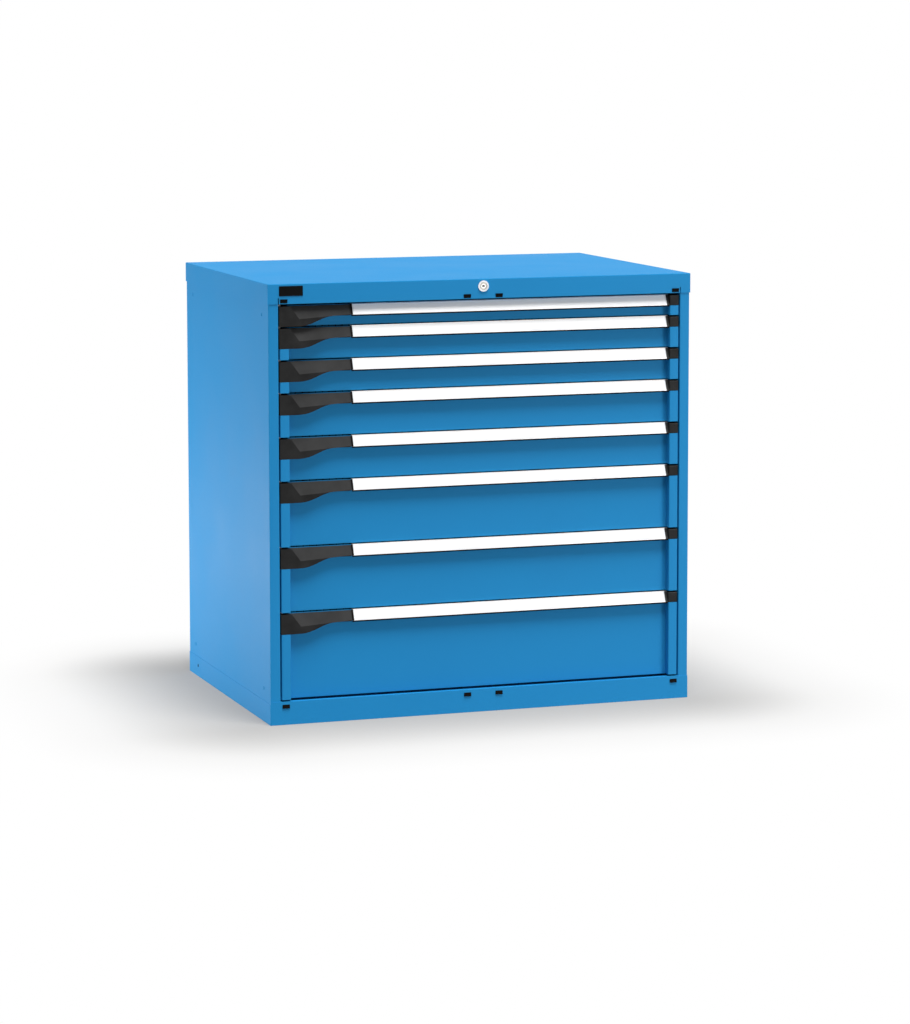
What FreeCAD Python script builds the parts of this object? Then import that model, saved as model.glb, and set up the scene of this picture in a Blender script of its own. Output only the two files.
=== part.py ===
import FreeCAD, Part
import os
from math import acos, cos, hypot, radians, sin, tan

# Modular drawer cabinet: folded steel case, eight telescopic drawers, central lock.
# Millimetres. X to the right, Y to the back, Z up. The origin is the middle of the
# bottom of the box that holds the whole cabinet.

V = FreeCAD.Vector

# Case
WIDTH = 1023.0            # across the cover
DEPTH = 725.0             # cover, front to back
SHEET = 1.5               # casing sheet
BEND = 2.0                # outside radius of a bend that shows; inside, folds are sharp
COVER_BAND = 48.0         # height of the cover's skirt
HEAD_ROOM = 47.0          # top drawer's pitch line to the top of the cover
STACK_BOTTOM = 57.0       # floor to the lowest drawer's pitch line
BASE_SHEET = 2.0
BASE_TOP = 48.0           # floor plate of the base pan
BASE_PROUD = 1.0          # base skirt beyond the side panels
BASE_RETURN = 22.0        # flange the base stands on
SILL_RISE = 5.0           # front sill above the floor plate
SILL_DEPTH = 12.0
POST_WIDTH = 23.5         # front post, seen from the front
POST_RETURN = 18.0
REAR_FLANGE = 22.0
COVER_RETURN = 14.0       # fold behind the cover's front band
COVER_RETURN_PLAY = 2.0   # its ends to the posts
RELIEF = (2.5, 16.0)      # corner relief slots in the cover band, width and height

# Drawers, top to bottom
DRAWER_PITCHES = (50.0, 75.0, 75.0, 100.0, 100.0, 150.0, 150.0, 200.0)
RUNNER_ROOM = 52.5        # at each side of the usable width, to the outside of the cover
LOCK_ROOM = 113.0         # cover's depth that the drawer doesn't use: front, lock bar and rear sheet
TRAY_SHEET = 1.2
TRAY_HEM = 6.5
TRAY_LIFT = 6.0           # tray bottom above the pitch line
TRAY_DROP = 14.0          # tray top below the next pitch line
FRONT_GAP = 3.3           # front to post
STRIP_WIDTH = 21.7        # flat strip at each side of the front
RECESS = 18.0             # panel behind the strips
FRONT_RETURN = 20.0
FRONT_TOP_GAP = 3.5       # panel top below the next pitch line
PANEL_LIP = (6.0, 5.0)    # lip along the panel's foot, reach forward and height

# Handle, measured from the drawer's top pitch line and its front plane
HANDLE_TOP = 2.3
HANDLE_BOTTOM = 27.5
HANDLE_TOP_DEPTH = 13.0
HANDLE_LIP_DEPTH = 2.5
HANDLE_WALL = 1.8
HANDLE_BEAD = 3.4         # thickness of the lower edge
HANDLE_LIP = 5.2          # plain edge below the label
HANDLE_EDGE = 1.4         # radius of its front corner
LABEL_RECESS = 0.8
HANDLE_FLANGE = 16.0      # foot of the flange on the panel
CAP_TOP = 4.5
CAP_BOTTOM = 27.6
CAP_WALL = 2.2
GRIP_TOP = 4.8
GRIP_BOTTOM = 50.0
GRIP_LENGTH = 167.7
GRIP_OVERHANG = 1.2       # grip beyond the front's edge
GRIP_WALL = 2.6
FACET_WALL = 2.2          # behind the slanted facet, front to back
GRIP_WAIST = 28.3         # underside beside the label
GRIP_CURVE = (44.0, 135.0)      # S-curve of the underside, from the grip's left end
FACET_EDGE = (26.0, 47.0)       # facet's left edge, at its top and at its foot
GRIP_NECK = 4.5                 # dark joint between grip and label
GRIP_FALL_BACK = 3.1            # how far the front face runs back beside the label
NOTCH_PLAY = 0.3
EDGE_CHAMFER = 0.8        # on the mouldings' front edges
GRIP_EASE = 0.45          # how gently the S-curve leaves its ends
NECK_INSET = 1.6          # neck behind the label's plane

# Telescopic runners
RAIL_SHEET = 2.0
ROLLER = 18.0
ROLLER_SIDES = 16         # there are many rollers, so each has few faces
ROLLER_WIDTH = 11.5
GLIDE_LENGTH = 30.0       # plastic block that runs in the same channel
CHANNEL_INSET = 2.0       # drawer channel inside the tray's ends
ROLLER_PLAY = 0.3
SIDE_PLAY = 1.0           # carriage plate to the lips of both channels
RUNNER_LIFT = 20.0        # runner centre above the pitch line
CARRIAGE_HEIGHT = 30.0
CARRIAGE_FLANGE = 8.0
RAIL_START = 26.0         # channel ends behind the front plane
CARRIAGE_START = 30.0
CARRIAGE_SHORT = 22.0     # carriage shorter than the drawer's travel
END_PLAY = 2.0            # roller to the end of its channel, fully open

# Uprights
UPRIGHT_FOLD = 14.0
UPRIGHT_WIDTH = 40.0
UPRIGHT_INSET = 59.0      # upright centre behind the cover's front, and from its back
SLOT = (5.0, 16.0)        # hook slot, width and height
SLOT_RISE = 12.5          # slot centre above the pitch line
HOOK_WIDTH = 4.0
HOOK_HEIGHT = 9.6
HOOK_DROP = 5.0

# Latch
PIN_RADIUS = 2.0
PIN_SIDES = 8
RUNNING_FIT = 0.05
LATCH_HUB = 2.3                 # round the pin
LATCH_PIVOT = (15.0, 12.5)      # behind the front plane, below the pitch line
LATCH_FOOT = (8.0, 40.0)
LATCH_PLATE = 2.0
LATCH_ARM = 4.0
LATCH_ARM_TOP = 14.5
LATCH_PLATE_RIGHT = 75.0        # end of the finger plate, from the grip's left end
LATCH_SIDE_PLAY = 1.8           # arm to the carriage plate
LATCH_TRAY_PLAY = 3.8           # arm to the tray's hem
PIN_END_PLAY = 0.3
NOSE_TOP = 10.5
NOSE_LENGTH = 5.0
NOSE_CHAMFER = 2.0
NOSE_PLAY = 0.9                 # nose to the back of its lug
LUG = (2.5, 7.0)                # thickness and height
LUG_DROP = 10.0                 # lug's lower edge below the pitch line
LUG_SIDE = 0.6                  # lug beyond the latch arm's inner face
LUG_SETBACK = 2.5               # lug behind the upright's front

# Lock train
LOCK_X = 0.0
LOCK_DROP = 17.0          # lock centre below the top
LOCK_PROUD = 2.5
ROSETTE_RADIUS = 13.5     # at the cover
ROSETTE_FACE = 12.7       # at its face
LOCK_BODY_RADIUS = 12.6   # to its corners
LOCK_BODY_SIDES = 6
LOCK_BODY_LENGTH = 30.0
BARREL_RADIUS = 9.0
BARREL_SUNK = 0.6         # barrel's face behind the rosette's
KEY_SLOT = (7.0, 2.6, 8.0)      # width, height and depth
SHAFT_RADIUS = 4.0
CRANK_THROW = 10.0
CRANK_TURN = 90.0
CRANK_SHEET = 3.0
CRANK_EDGE = 1.5          # crank round its shaft and its pin
CRANK_PIN_RADIUS = 2.5
PIN_PLAY = 0.5            # crank pin in the bar's slot
BAR_WIDTH = 24.0
BAR_THICKNESS = 3.0
BAR_FOOT = 6.0            # bar below its lowest tongue
HEAD_WALL = 4.5           # bar's head round the crank slot
PEG = (10.0, 4.0)         # tongue of the lock bar, width and thickness
PEG_PLAY = 0.8
PEG_GAP = 1.0             # tongue's top below its striker, unlocked
STRIKER_LIFT = 20.0
STRIKER = (20.0, 20.0, 2.0)     # width, reach and thickness
STRIKER_FOOT = 12.0
PEG_SETBACK = 12.0              # tongue's middle behind the tray
CRANK_SETBACK = 12.0            # crank behind the tongues
BAR_GAP = 1.0                   # bar behind the crank
GUIDE_SHEET = 3.0
GUIDE_PLAY = 0.6
GUIDE_HEIGHTS = (160.0, 500.0, 880.0)
GUIDE_REACH = 8.0         # guide plate in front of the bar
BRACKET = (60.0, 28.0)    # shaft bracket, width and height
BRACKET_GAP = 5.0         # bracket to the crank

# Slot plugs
PLUG = (17.0, 8.5)        # head, width and height
PLUG_STEM = (14.0, 5.5, 7.0)
PLUG_THIN = 0.6
PLUG_THICK = 2.2
PLUG_INNER = 38.5         # inner plugs' centres from the middle
PLUG_INSET = 12.5         # outer plugs' centres inside the opening
PLUG_RISE = 8.8           # upper plugs' centres above the opening
PLUG_DROP = 10.9          # lower plugs' centres below the sill's top
HOLE_PLAY = 0.1

# Worked out from the sizes above
HEIGHT = STACK_BOTTOM + sum(DRAWER_PITCHES) + HEAD_ROOM
USABLE_WIDTH = WIDTH - 2 * RUNNER_ROOM      # 54 divider modules of 17 mm
USABLE_DEPTH = DEPTH - LOCK_ROOM            # 36 divider modules
TRAVEL = USABLE_DEPTH                       # full extension
CARRIAGE_LENGTH = TRAVEL - CARRIAGE_SHORT
COVER_X = WIDTH / 2
COVER_FRONT = -(DEPTH + LOCK_PROUD) / 2 + LOCK_PROUD
COVER_BACK = COVER_FRONT + DEPTH
COVER_LOW = HEIGHT - COVER_BAND
UNDER_COVER = HEIGHT - SHEET
SIDE_X = COVER_X - SHEET
SIDE_INNER = SIDE_X - SHEET
FRONT = COVER_FRONT + SHEET
BACK = COVER_BACK - SHEET
OPENING_X = SIDE_X - POST_WIDTH
FRONT_X = OPENING_X - FRONT_GAP
RECESS_X = FRONT_X - STRIP_WIDTH
SILL_TOP = BASE_TOP + SILL_RISE
PANEL_BACK = RECESS + SHEET
TRAY_X = USABLE_WIDTH / 2 + TRAY_SHEET
TRAY_DEPTH = USABLE_DEPTH + 2 * TRAY_SHEET
TRAY_BACK = PANEL_BACK + TRAY_DEPTH
WEB_X = SIDE_INNER - UPRIGHT_FOLD
FRONT_UPRIGHT = COVER_FRONT + UPRIGHT_INSET
REAR_UPRIGHT = COVER_BACK - UPRIGHT_INSET
CHANNEL_HALF = ROLLER / 2 + ROLLER_PLAY + RAIL_SHEET
PLATE_X = (TRAY_X + RAIL_SHEET + WEB_X - RAIL_SHEET - RAIL_SHEET) / 2
GRIP_LEFT = -FRONT_X - GRIP_OVERHANG
GRIP_RIGHT = GRIP_LEFT + GRIP_LENGTH
HANDLE_LEFT = GRIP_RIGHT + GRIP_NECK
LOCK_Z = HEIGHT - LOCK_DROP
BAR_RISE = 2 * CRANK_THROW * sin(radians(CRANK_TURN / 2))
PEG_Y = FRONT + TRAY_BACK + PEG_SETBACK
CRANK_Y = PEG_Y + PEG[1] / 2 + CRANK_SETBACK
BAR_Y = CRANK_Y + CRANK_SHEET + BAR_GAP
BACK_PANEL_Y = BACK - 2 * SHEET
FACET_SLOPE = (HANDLE_TOP_DEPTH - HANDLE_LIP_DEPTH) / (HANDLE_BOTTOM - HANDLE_TOP)
FACET_AT_TOP = HANDLE_TOP_DEPTH + FACET_SLOPE * HANDLE_TOP


def drawer_levels():
    """Lower and upper pitch line of each drawer, from the top drawer down."""
    levels = []
    top = STACK_BOTTOM + sum(DRAWER_PITCHES)
    for pitch in DRAWER_PITCHES:
        levels.append((top - pitch, top))
        top -= pitch
    return levels


# Plain shapes

def box(x, y, z):
    return Part.makeBox(x[1] - x[0], y[1] - y[0], z[1] - z[0], V(x[0], y[0], z[0]))


def rod(axis, start, end, centre, radius):
    """Cylinder along X, Y or Z between two stations; centre gives the other two coordinates."""
    a, b = centre
    base = {"x": V(start, a, b), "y": V(a, start, b), "z": V(a, b, start)}[axis]
    along = {"x": V(1, 0, 0), "y": V(0, 1, 0), "z": V(0, 0, 1)}[axis]
    return Part.makeCylinder(radius, end - start, base, along)


def mirrored(shape):
    return shape.mirror(V(0, 0, 0), V(1, 0, 0))


def both_sides(shape):
    return [shape, mirrored(shape)]


def joined(first, *others):
    shape = first.fuse(list(others)) if others else first
    return shape.removeSplitter()


def edges_along(shape, direction):
    """Straight edges parallel to a direction."""
    found = []
    for edge in shape.Edges:
        ends = [vertex.Point for vertex in edge.Vertexes]
        if len(ends) == 2 and (ends[1] - ends[0]).cross(direction).Length < 1e-6:
            found.append(edge)
    return found


# Outlines: points on a plane, with bends as arcs, pushed out along the third axis.
# Along x a point is (y, z), along y it is (x, z) and along z it is (x, y).

def place(axis, station, point):
    a, b = point
    return {"x": V(station, a, b), "y": V(a, station, b), "z": V(a, b, station)}[axis]


def direction(start, end):
    length = hypot(end[0] - start[0], end[1] - start[1])
    return (end[0] - start[0]) / length, (end[1] - start[1]) / length


def turn_at(before, corner, after):
    """Sine-signed turn at a corner: positive to the left, in radians."""
    a, b = direction(before, corner), direction(corner, after)
    turn = acos(max(-1.0, min(1.0, a[0] * b[0] + a[1] * b[1])))
    return turn if a[0] * b[1] - a[1] * b[0] > 0 else -turn


def rounded(points, radii, axis, station):
    """Edges along a path of points, with an arc of the given radius at each inner corner."""
    edges, last = [], points[0]
    for i in range(1, len(points) - 1):
        radius, corner = radii[i], points[i]
        if radius < 0.05:
            continue
        turn = turn_at(points[i - 1], corner, points[i + 1])
        a, b = direction(points[i - 1], corner), direction(corner, points[i + 1])
        reach = radius * tan(abs(turn) / 2)
        side = 1 if turn > 0 else -1
        start = (corner[0] - a[0] * reach, corner[1] - a[1] * reach)
        end = (corner[0] + b[0] * reach, corner[1] + b[1] * reach)
        centre = (start[0] - side * a[1] * radius, start[1] + side * a[0] * radius)
        out = direction(centre, corner)
        middle = (centre[0] + out[0] * radius, centre[1] + out[1] * radius)
        edges += straight(points, radii, i, last, start, axis, station)
        edges.append(Part.Arc(*[place(axis, station, p) for p in (start, middle, end)]).toShape())
        last = end
    edges += straight(points, radii, len(points) - 1, last, points[-1], axis, station)
    return edges


def straight(points, radii, index, last, end, axis, station):
    """Lines from the last arc to the next one, through any sharp corners between them."""
    sharp = []
    for i in range(index - 1, 0, -1):
        if radii[i] >= 0.05:
            break
        sharp.insert(0, points[i])
    path = [last] + sharp + [end]
    lines = []
    for a, b in zip(path, path[1:]):
        if hypot(b[0] - a[0], b[1] - a[1]) > 1e-6:
            lines.append(Part.LineSegment(place(axis, station, a), place(axis, station, b)).toShape())
    return lines


def even_sided(centre, radius, sides):
    """Corners of a regular outline, the first one straight along the first coordinate."""
    turns = [radians(360 * i / sides) for i in range(sides)]
    return [(centre[0] + radius * cos(turn), centre[1] + radius * sin(turn)) for turn in turns]


def pushed(edges, axis, length):
    along = {"x": V(length, 0, 0), "y": V(0, length, 0), "z": V(0, 0, length)}[axis]
    return Part.Face(Part.Wire(edges)).extrude(along)


def prism(axis, low, high, points, radius=0.0):
    """Closed outline pushed out between two stations, its corners rounded where asked."""
    radii = radius if isinstance(radius, (list, tuple)) else [radius] * len(points)
    first = ((points[0][0] + points[-1][0]) / 2, (points[0][1] + points[-1][1]) / 2)
    loop = [first] + list(points) + [first]
    return pushed(rounded(loop, [0.0] + list(radii) + [0.0], axis, low), axis, high - low)


def folded(axis, low, high, skin, sheet, bend=0.0):
    """Folded sheet from its skin's section, with the sheet on the left of the way the path runs.
    The outside of a fold gets the bend's radius, one for all folds or one for each."""
    bends = bend if isinstance(bend, (list, tuple)) else [bend] * (len(skin) - 2)
    inner, skin_radii, inner_radii = [], [0.0], [0.0]
    for i, point in enumerate(skin):
        ways = []
        if i > 0:
            ways.append(direction(skin[i - 1], point))
        if i < len(skin) - 1:
            ways.append(direction(point, skin[i + 1]))
        normal = (-sum(w[1] for w in ways), sum(w[0] for w in ways))
        scale = sheet * len(ways) / (normal[0] ** 2 + normal[1] ** 2)
        inner.append((point[0] + normal[0] * scale, point[1] + normal[1] * scale))
        if len(ways) == 2:
            left = turn_at(skin[i - 1], point, skin[i + 1]) > 0
            skin_radii.append(bends[i - 1] if left else 0.0)
            inner_radii.append(0.0 if left else bends[i - 1])
    skin_radii.append(0.0)
    inner_radii.append(0.0)
    edges = rounded(skin, skin_radii, axis, low)
    edges.append(Part.LineSegment(place(axis, low, skin[-1]), place(axis, low, inner[-1])).toShape())
    edges += rounded(inner[::-1], inner_radii[::-1], axis, low)
    edges.append(Part.LineSegment(place(axis, low, inner[0]), place(axis, low, skin[0])).toShape())
    return pushed(edges, axis, high - low)


# Cabinet, fixed pieces

def top_cover():
    shell = box((-COVER_X, COVER_X), (COVER_FRONT, COVER_BACK), (COVER_LOW, HEIGHT))
    upper = [e for e in shell.Edges if e.BoundBox.ZMin > HEIGHT - 0.1]
    shell = shell.makeFillet(BEND, upper)
    room = box((-SIDE_X, SIDE_X), (FRONT, BACK), (COVER_LOW - 1, UNDER_COVER))
    fold = box((-OPENING_X + COVER_RETURN_PLAY, OPENING_X - COVER_RETURN_PLAY),
               (FRONT - SHEET / 2, FRONT + COVER_RETURN), (COVER_LOW, COVER_LOW + SHEET))
    lock_hole = prism("y", COVER_FRONT - 1, FRONT + 1,
                      even_sided((LOCK_X, LOCK_Z), LOCK_BODY_RADIUS + HOLE_PLAY, LOCK_BODY_SIDES))
    relief = box((OPENING_X - RELIEF[0] / 2, OPENING_X + RELIEF[0] / 2), (COVER_FRONT - 1, FRONT + 0.01),
                 (COVER_LOW - 1, COVER_LOW + RELIEF[1]))
    slots = [slot for slot, in_cover in plug_slots() if in_cover]
    return joined(shell.cut(room), fold).cut([lock_hole] + both_sides(relief) + slots)


def plug_rows():
    """Plug centres: x, front face, height and whether the plug is in the cover band."""
    spots = []
    for x in (PLUG_INNER, OPENING_X - PLUG_INSET):
        for side in (-1, 1):
            spots.append((side * x, COVER_FRONT, COVER_LOW + PLUG_RISE, True))
            spots.append((side * x, FRONT - BASE_PROUD, SILL_TOP - PLUG_DROP, False))
    return spots


def plug_slots():
    slots = []
    for x, face, z, in_cover in plug_rows():
        half_width = PLUG_STEM[0] / 2 + HOLE_PLAY
        half_height = PLUG_STEM[1] / 2 + HOLE_PLAY
        slot = box((x - half_width, x + half_width), (face - 1, face + BASE_SHEET + 1),
                   (z - half_height, z + half_height))
        slots.append((slot, in_cover))
    return slots


def slot_plugs():
    """Wedge-headed plugs: the edge away from the opening stands further forward."""
    plugs = []
    for x, face, z, in_cover in plug_rows():
        high, low = (PLUG_THICK, PLUG_THIN) if in_cover else (PLUG_THIN, PLUG_THICK)
        top, foot = z + PLUG[1] / 2, z - PLUG[1] / 2
        section = [(face, foot), (face - low, foot), (face - high, top), (face, top)]
        head = prism("x", x - PLUG[0] / 2, x + PLUG[0] / 2, section)
        stem = box((x - PLUG_STEM[0] / 2, x + PLUG_STEM[0] / 2), (face - 0.2, face + PLUG_STEM[2]),
                   (z - PLUG_STEM[1] / 2, z + PLUG_STEM[1] / 2))
        plugs.append(joined(head, stem))
    return plugs


def right_side():
    """Side panel in one piece with its post: return, front face, side, rear flange."""
    skin = [(OPENING_X, FRONT + POST_RETURN), (OPENING_X, FRONT), (SIDE_X, FRONT), (SIDE_X, BACK),
            (SIDE_X - REAR_FLANGE, BACK)]
    panel = folded("z", BASE_TOP, UNDER_COVER, skin, SHEET, BEND)
    sill_notch = box((OPENING_X - 5, SIDE_X + 5), (FRONT - 2, FRONT - BASE_PROUD + BASE_SHEET),
                     (BASE_TOP - 1, SILL_TOP))
    return panel.cut(sill_notch)


def back_panel():
    """Rear sheet with the bracket that carries the lock shaft, and the lock bar's guides."""
    half = SIDE_INNER - BEND
    panel = box((-half, half), (BACK_PANEL_Y, BACK_PANEL_Y + SHEET), (BASE_TOP, UNDER_COVER))
    weld = BACK_PANEL_Y + SHEET / 4
    side = BRACKET[0] / 2
    bracket_front = CRANK_Y - BRACKET_GAP - GUIDE_SHEET
    skin = [(LOCK_X - side, weld), (LOCK_X - side, bracket_front), (LOCK_X + side, bracket_front),
            (LOCK_X + side, weld)]
    bracket = folded("z", LOCK_Z - BRACKET[1] / 2, LOCK_Z + BRACKET[1] / 2, skin, GUIDE_SHEET)
    bearing = rod("y", bracket_front - 1, CRANK_Y, (LOCK_X, LOCK_Z), SHAFT_RADIUS + RUNNING_FIT)
    guides = []
    for z in GUIDE_HEIGHTS:
        plate = box((LOCK_X - side, LOCK_X + side), (BAR_Y - GUIDE_REACH, weld), (z, z + GUIDE_SHEET))
        window = box((LOCK_X - BAR_WIDTH / 2 - GUIDE_PLAY, LOCK_X + BAR_WIDTH / 2 + GUIDE_PLAY),
                     (BAR_Y - GUIDE_PLAY, BAR_Y + BAR_THICKNESS + GUIDE_PLAY), (z - 1, z + GUIDE_SHEET + 1))
        guides.append(plate.cut(window))
    return joined(panel, bracket.cut(bearing), *guides)


def base_pan():
    half_x, front, back = SIDE_X + BASE_PROUD, FRONT - BASE_PROUD, BACK + BASE_PROUD
    pan = box((-half_x, half_x), (front, back), (0, BASE_TOP))
    pan = pan.makeFillet(BEND, edges_along(pan, V(0, 0, 1)))
    room = box((-half_x + BASE_SHEET, half_x - BASE_SHEET), (front + BASE_SHEET, back - BASE_SHEET),
               (BASE_SHEET, BASE_TOP - BASE_SHEET))
    below = box((-half_x + BASE_RETURN, half_x - BASE_RETURN), (front + BASE_RETURN, back - BASE_RETURN),
                (-1, BASE_SHEET + 1))
    sill = box((-SIDE_X, SIDE_X), (front, front + BASE_SHEET), (BASE_TOP - 1, SILL_TOP))
    ledge = box((-OPENING_X, OPENING_X), (front, front + SILL_DEPTH), (SILL_TOP - BASE_SHEET, SILL_TOP))
    slots = [slot for slot, in_cover in plug_slots() if not in_cover]
    return joined(pan.cut([room, below]), sill, ledge).cut(slots)


def upright(centre_y):
    """Right-hand column, open towards the side panel, with a hook slot for each rail."""
    low, high = centre_y - UPRIGHT_WIDTH / 2, centre_y + UPRIGHT_WIDTH / 2
    skin = [(SIDE_INNER, high), (WEB_X, high), (WEB_X, low), (SIDE_INNER, low)]
    column = folded("z", BASE_TOP, UNDER_COVER, skin, SHEET)
    heights = [bottom + SLOT_RISE for bottom, top in drawer_levels()]
    slots = [box((WEB_X - 1, WEB_X + SHEET + 1), (centre_y - SLOT[0] / 2, centre_y + SLOT[0] / 2),
                 (z - SLOT[1] / 2, z + SLOT[1] / 2)) for z in heights]
    return column.cut(slots)


def latch_arm_span():
    """X range of the latch arm: inside the carriage plate, outside the tray's hem."""
    return -PLATE_X + LATCH_SIDE_PLAY, -TRAY_X - TRAY_HEM - LATCH_TRAY_PLAY


def lug_front():
    """Front face of a catch lug, behind the drawers' front plane."""
    return FRONT_UPRIGHT - UPRIGHT_WIDTH / 2 + LUG_SETBACK - FRONT


def uprights():
    """Four columns; the front left one carries a catch lug for each drawer's latch."""
    columns = both_sides(upright(FRONT_UPRIGHT)) + both_sides(upright(REAR_UPRIGHT))
    lug_y = FRONT + lug_front()
    lugs = []
    for low, top in drawer_levels():
        lug_top = top - LUG_DROP
        lugs.append(box((-WEB_X - SHEET / 2, latch_arm_span()[1] + LUG_SIDE), (lug_y, lug_y + LUG[0]),
                        (lug_top, lug_top + LUG[1])))
    columns[1] = joined(columns[1], *lugs)
    return columns


def rail_end():
    return REAR_UPRIGHT + UPRIGHT_WIDTH / 2


def cabinet_rails():
    """Roller channels that hook into the uprights, one at each side of each drawer."""
    rails = []
    lip = PLATE_X + RAIL_SHEET + SIDE_PLAY
    behind_web = WEB_X + SHEET + HOLE_PLAY
    for low, top in drawer_levels():
        centre = low + RUNNER_LIFT
        skin = [(lip, centre - CHANNEL_HALF), (WEB_X, centre - CHANNEL_HALF),
                (WEB_X, centre + CHANNEL_HALF), (lip, centre + CHANNEL_HALF)]
        rail = folded("y", FRONT + RAIL_START, rail_end(), skin, RAIL_SHEET)
        foot = low + SLOT_RISE - SLOT[1] / 2
        head = foot + HOOK_HEIGHT
        hook = [(WEB_X - RAIL_SHEET / 2, foot), (behind_web, foot), (behind_web, foot - HOOK_DROP),
                (behind_web + RAIL_SHEET, foot - HOOK_DROP), (behind_web + RAIL_SHEET, head),
                (WEB_X - RAIL_SHEET / 2, head)]
        hooks = [prism("y", y - HOOK_WIDTH / 2, y + HOOK_WIDTH / 2, hook)
                 for y in (FRONT_UPRIGHT, REAR_UPRIGHT)]
        rails += both_sides(joined(rail, *hooks))
    return rails


# Drawer

def carriage(low):
    """Middle members of both runners: Z-shaped plates, each with a roller where the load is and glides."""
    centre = low + RUNNER_LIFT
    half = CARRIAGE_HEIGHT / 2
    start = FRONT + CARRIAGE_START
    end = start + CARRIAGE_LENGTH
    inner, outer = PLATE_X, PLATE_X + RAIL_SHEET
    flange_foot = centre - half + RAIL_SHEET
    skin = [(inner + CARRIAGE_FLANGE, centre + half), (inner, centre + half), (inner, flange_foot),
            (outer - CARRIAGE_FLANGE, flange_foot)]
    rail_roller = FRONT + RAIL_START + TRAVEL / 2 + END_PLAY + ROLLER / 2
    drawer_glide = FRONT + TRAY_BACK - TRAVEL / 2 - END_PLAY - GLIDE_LENGTH

    def glide(x, y):
        return box((x, x + ROLLER_WIDTH), (y, y + GLIDE_LENGTH), (centre - ROLLER / 2, centre + ROLLER / 2))

    pieces = [
        folded("y", start, end, skin, RAIL_SHEET),
        prism("x", outer, outer + ROLLER_WIDTH, even_sided((rail_roller, centre), ROLLER / 2, ROLLER_SIDES)),
        glide(outer, end - END_PLAY - GLIDE_LENGTH),
        glide(inner - ROLLER_WIDTH, start + END_PLAY),
        glide(inner - ROLLER_WIDTH, drawer_glide)]
    return pieces + [mirrored(piece) for piece in pieces]


def drawer_channel(low):
    """Right-hand runner channel welded to the tray's side."""
    centre = low + RUNNER_LIFT
    lip = PLATE_X - SIDE_PLAY
    skin = [(lip, centre + CHANNEL_HALF), (TRAY_X, centre + CHANNEL_HALF),
            (TRAY_X, centre - CHANNEL_HALF), (lip, centre - CHANNEL_HALF)]
    ends = FRONT + PANEL_BACK + CHANNEL_INSET, FRONT + TRAY_BACK - CHANNEL_INSET
    return folded("y", ends[0], ends[1], skin, RAIL_SHEET)


def striker(low):
    """Bracket at the tray's back; a tongue of the lock bar rises through its hole."""
    x = (LOCK_X - STRIKER[0] / 2, LOCK_X + STRIKER[0] / 2)
    back = FRONT + TRAY_BACK
    z = low + STRIKER_LIFT
    weld = back - TRAY_SHEET / 4
    bracket = prism("x", x[0], x[1], [
        (weld, z), (back + STRIKER[1], z), (back + STRIKER[1], z + STRIKER[2]),
        (back + STRIKER[2], z + STRIKER[2]), (back + STRIKER[2], z + STRIKER_FOOT), (weld, z + STRIKER_FOOT)])
    half_x, half_y = PEG[0] / 2 + PEG_PLAY, PEG[1] / 2 + PEG_PLAY
    hole = box((LOCK_X - half_x, LOCK_X + half_x), (PEG_Y - half_y, PEG_Y + half_y),
               (z - 1, z + STRIKER[2] + 1))
    return bracket.cut(hole)


def tray(low, top):
    """Folded pan with hemmed sides, welded ends, runner channels and striker."""
    foot, rim = low + TRAY_LIFT, top - TRAY_DROP
    front, back = FRONT + PANEL_BACK, FRONT + TRAY_BACK
    skin = [(-TRAY_X - TRAY_HEM, rim - TRAY_SHEET), (-TRAY_X, rim - TRAY_SHEET), (-TRAY_X, foot),
            (TRAY_X, foot), (TRAY_X, rim - TRAY_SHEET), (TRAY_X + TRAY_HEM, rim - TRAY_SHEET)]
    pan = folded("y", front, back, skin, TRAY_SHEET)
    ends = [box((-TRAY_X, TRAY_X), (y, y + TRAY_SHEET), (foot, rim)) for y in (front, back - TRAY_SHEET)]
    return joined(pan, *ends, *both_sides(drawer_channel(low)), striker(low))


def front(low, top):
    """Folded front: strips in the front plane, recessed panel, lip along its foot."""
    y = FRONT
    skin = [(-FRONT_X, y + FRONT_RETURN), (-FRONT_X, y), (-RECESS_X, y), (-RECESS_X, y + RECESS),
            (RECESS_X, y + RECESS), (RECESS_X, y), (FRONT_X, y), (FRONT_X, y + FRONT_RETURN)]
    sheet = folded("z", low, top - FRONT_TOP_GAP, skin, SHEET, [BEND, BEND, 0, 0, BEND, BEND])
    lip_front, lip_top = y + RECESS - PANEL_LIP[0], low + PANEL_LIP[1]
    under_lip = box((-RECESS_X, RECESS_X), (y + RECESS - 1, y + PANEL_BACK + 1), (low - 1, lip_top))
    lip = prism("x", -RECESS_X, RECESS_X, [
        (y + PANEL_BACK, lip_top), (y + RECESS, lip_top), (lip_front, low + SHEET), (lip_front, low),
        (lip_front + SHEET, low)])
    notch_y = (y - 5, y + FRONT_RETURN + 5)
    notches = [box((-FRONT_X - 5, -RECESS_X), notch_y, (top - GRIP_BOTTOM - NOTCH_PLAY, top + 5)),
               box((RECESS_X, FRONT_X + 5), notch_y, (top - CAP_BOTTOM - NOTCH_PLAY, top + 5))]
    return joined(sheet.cut([under_lip] + notches), lip)


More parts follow.
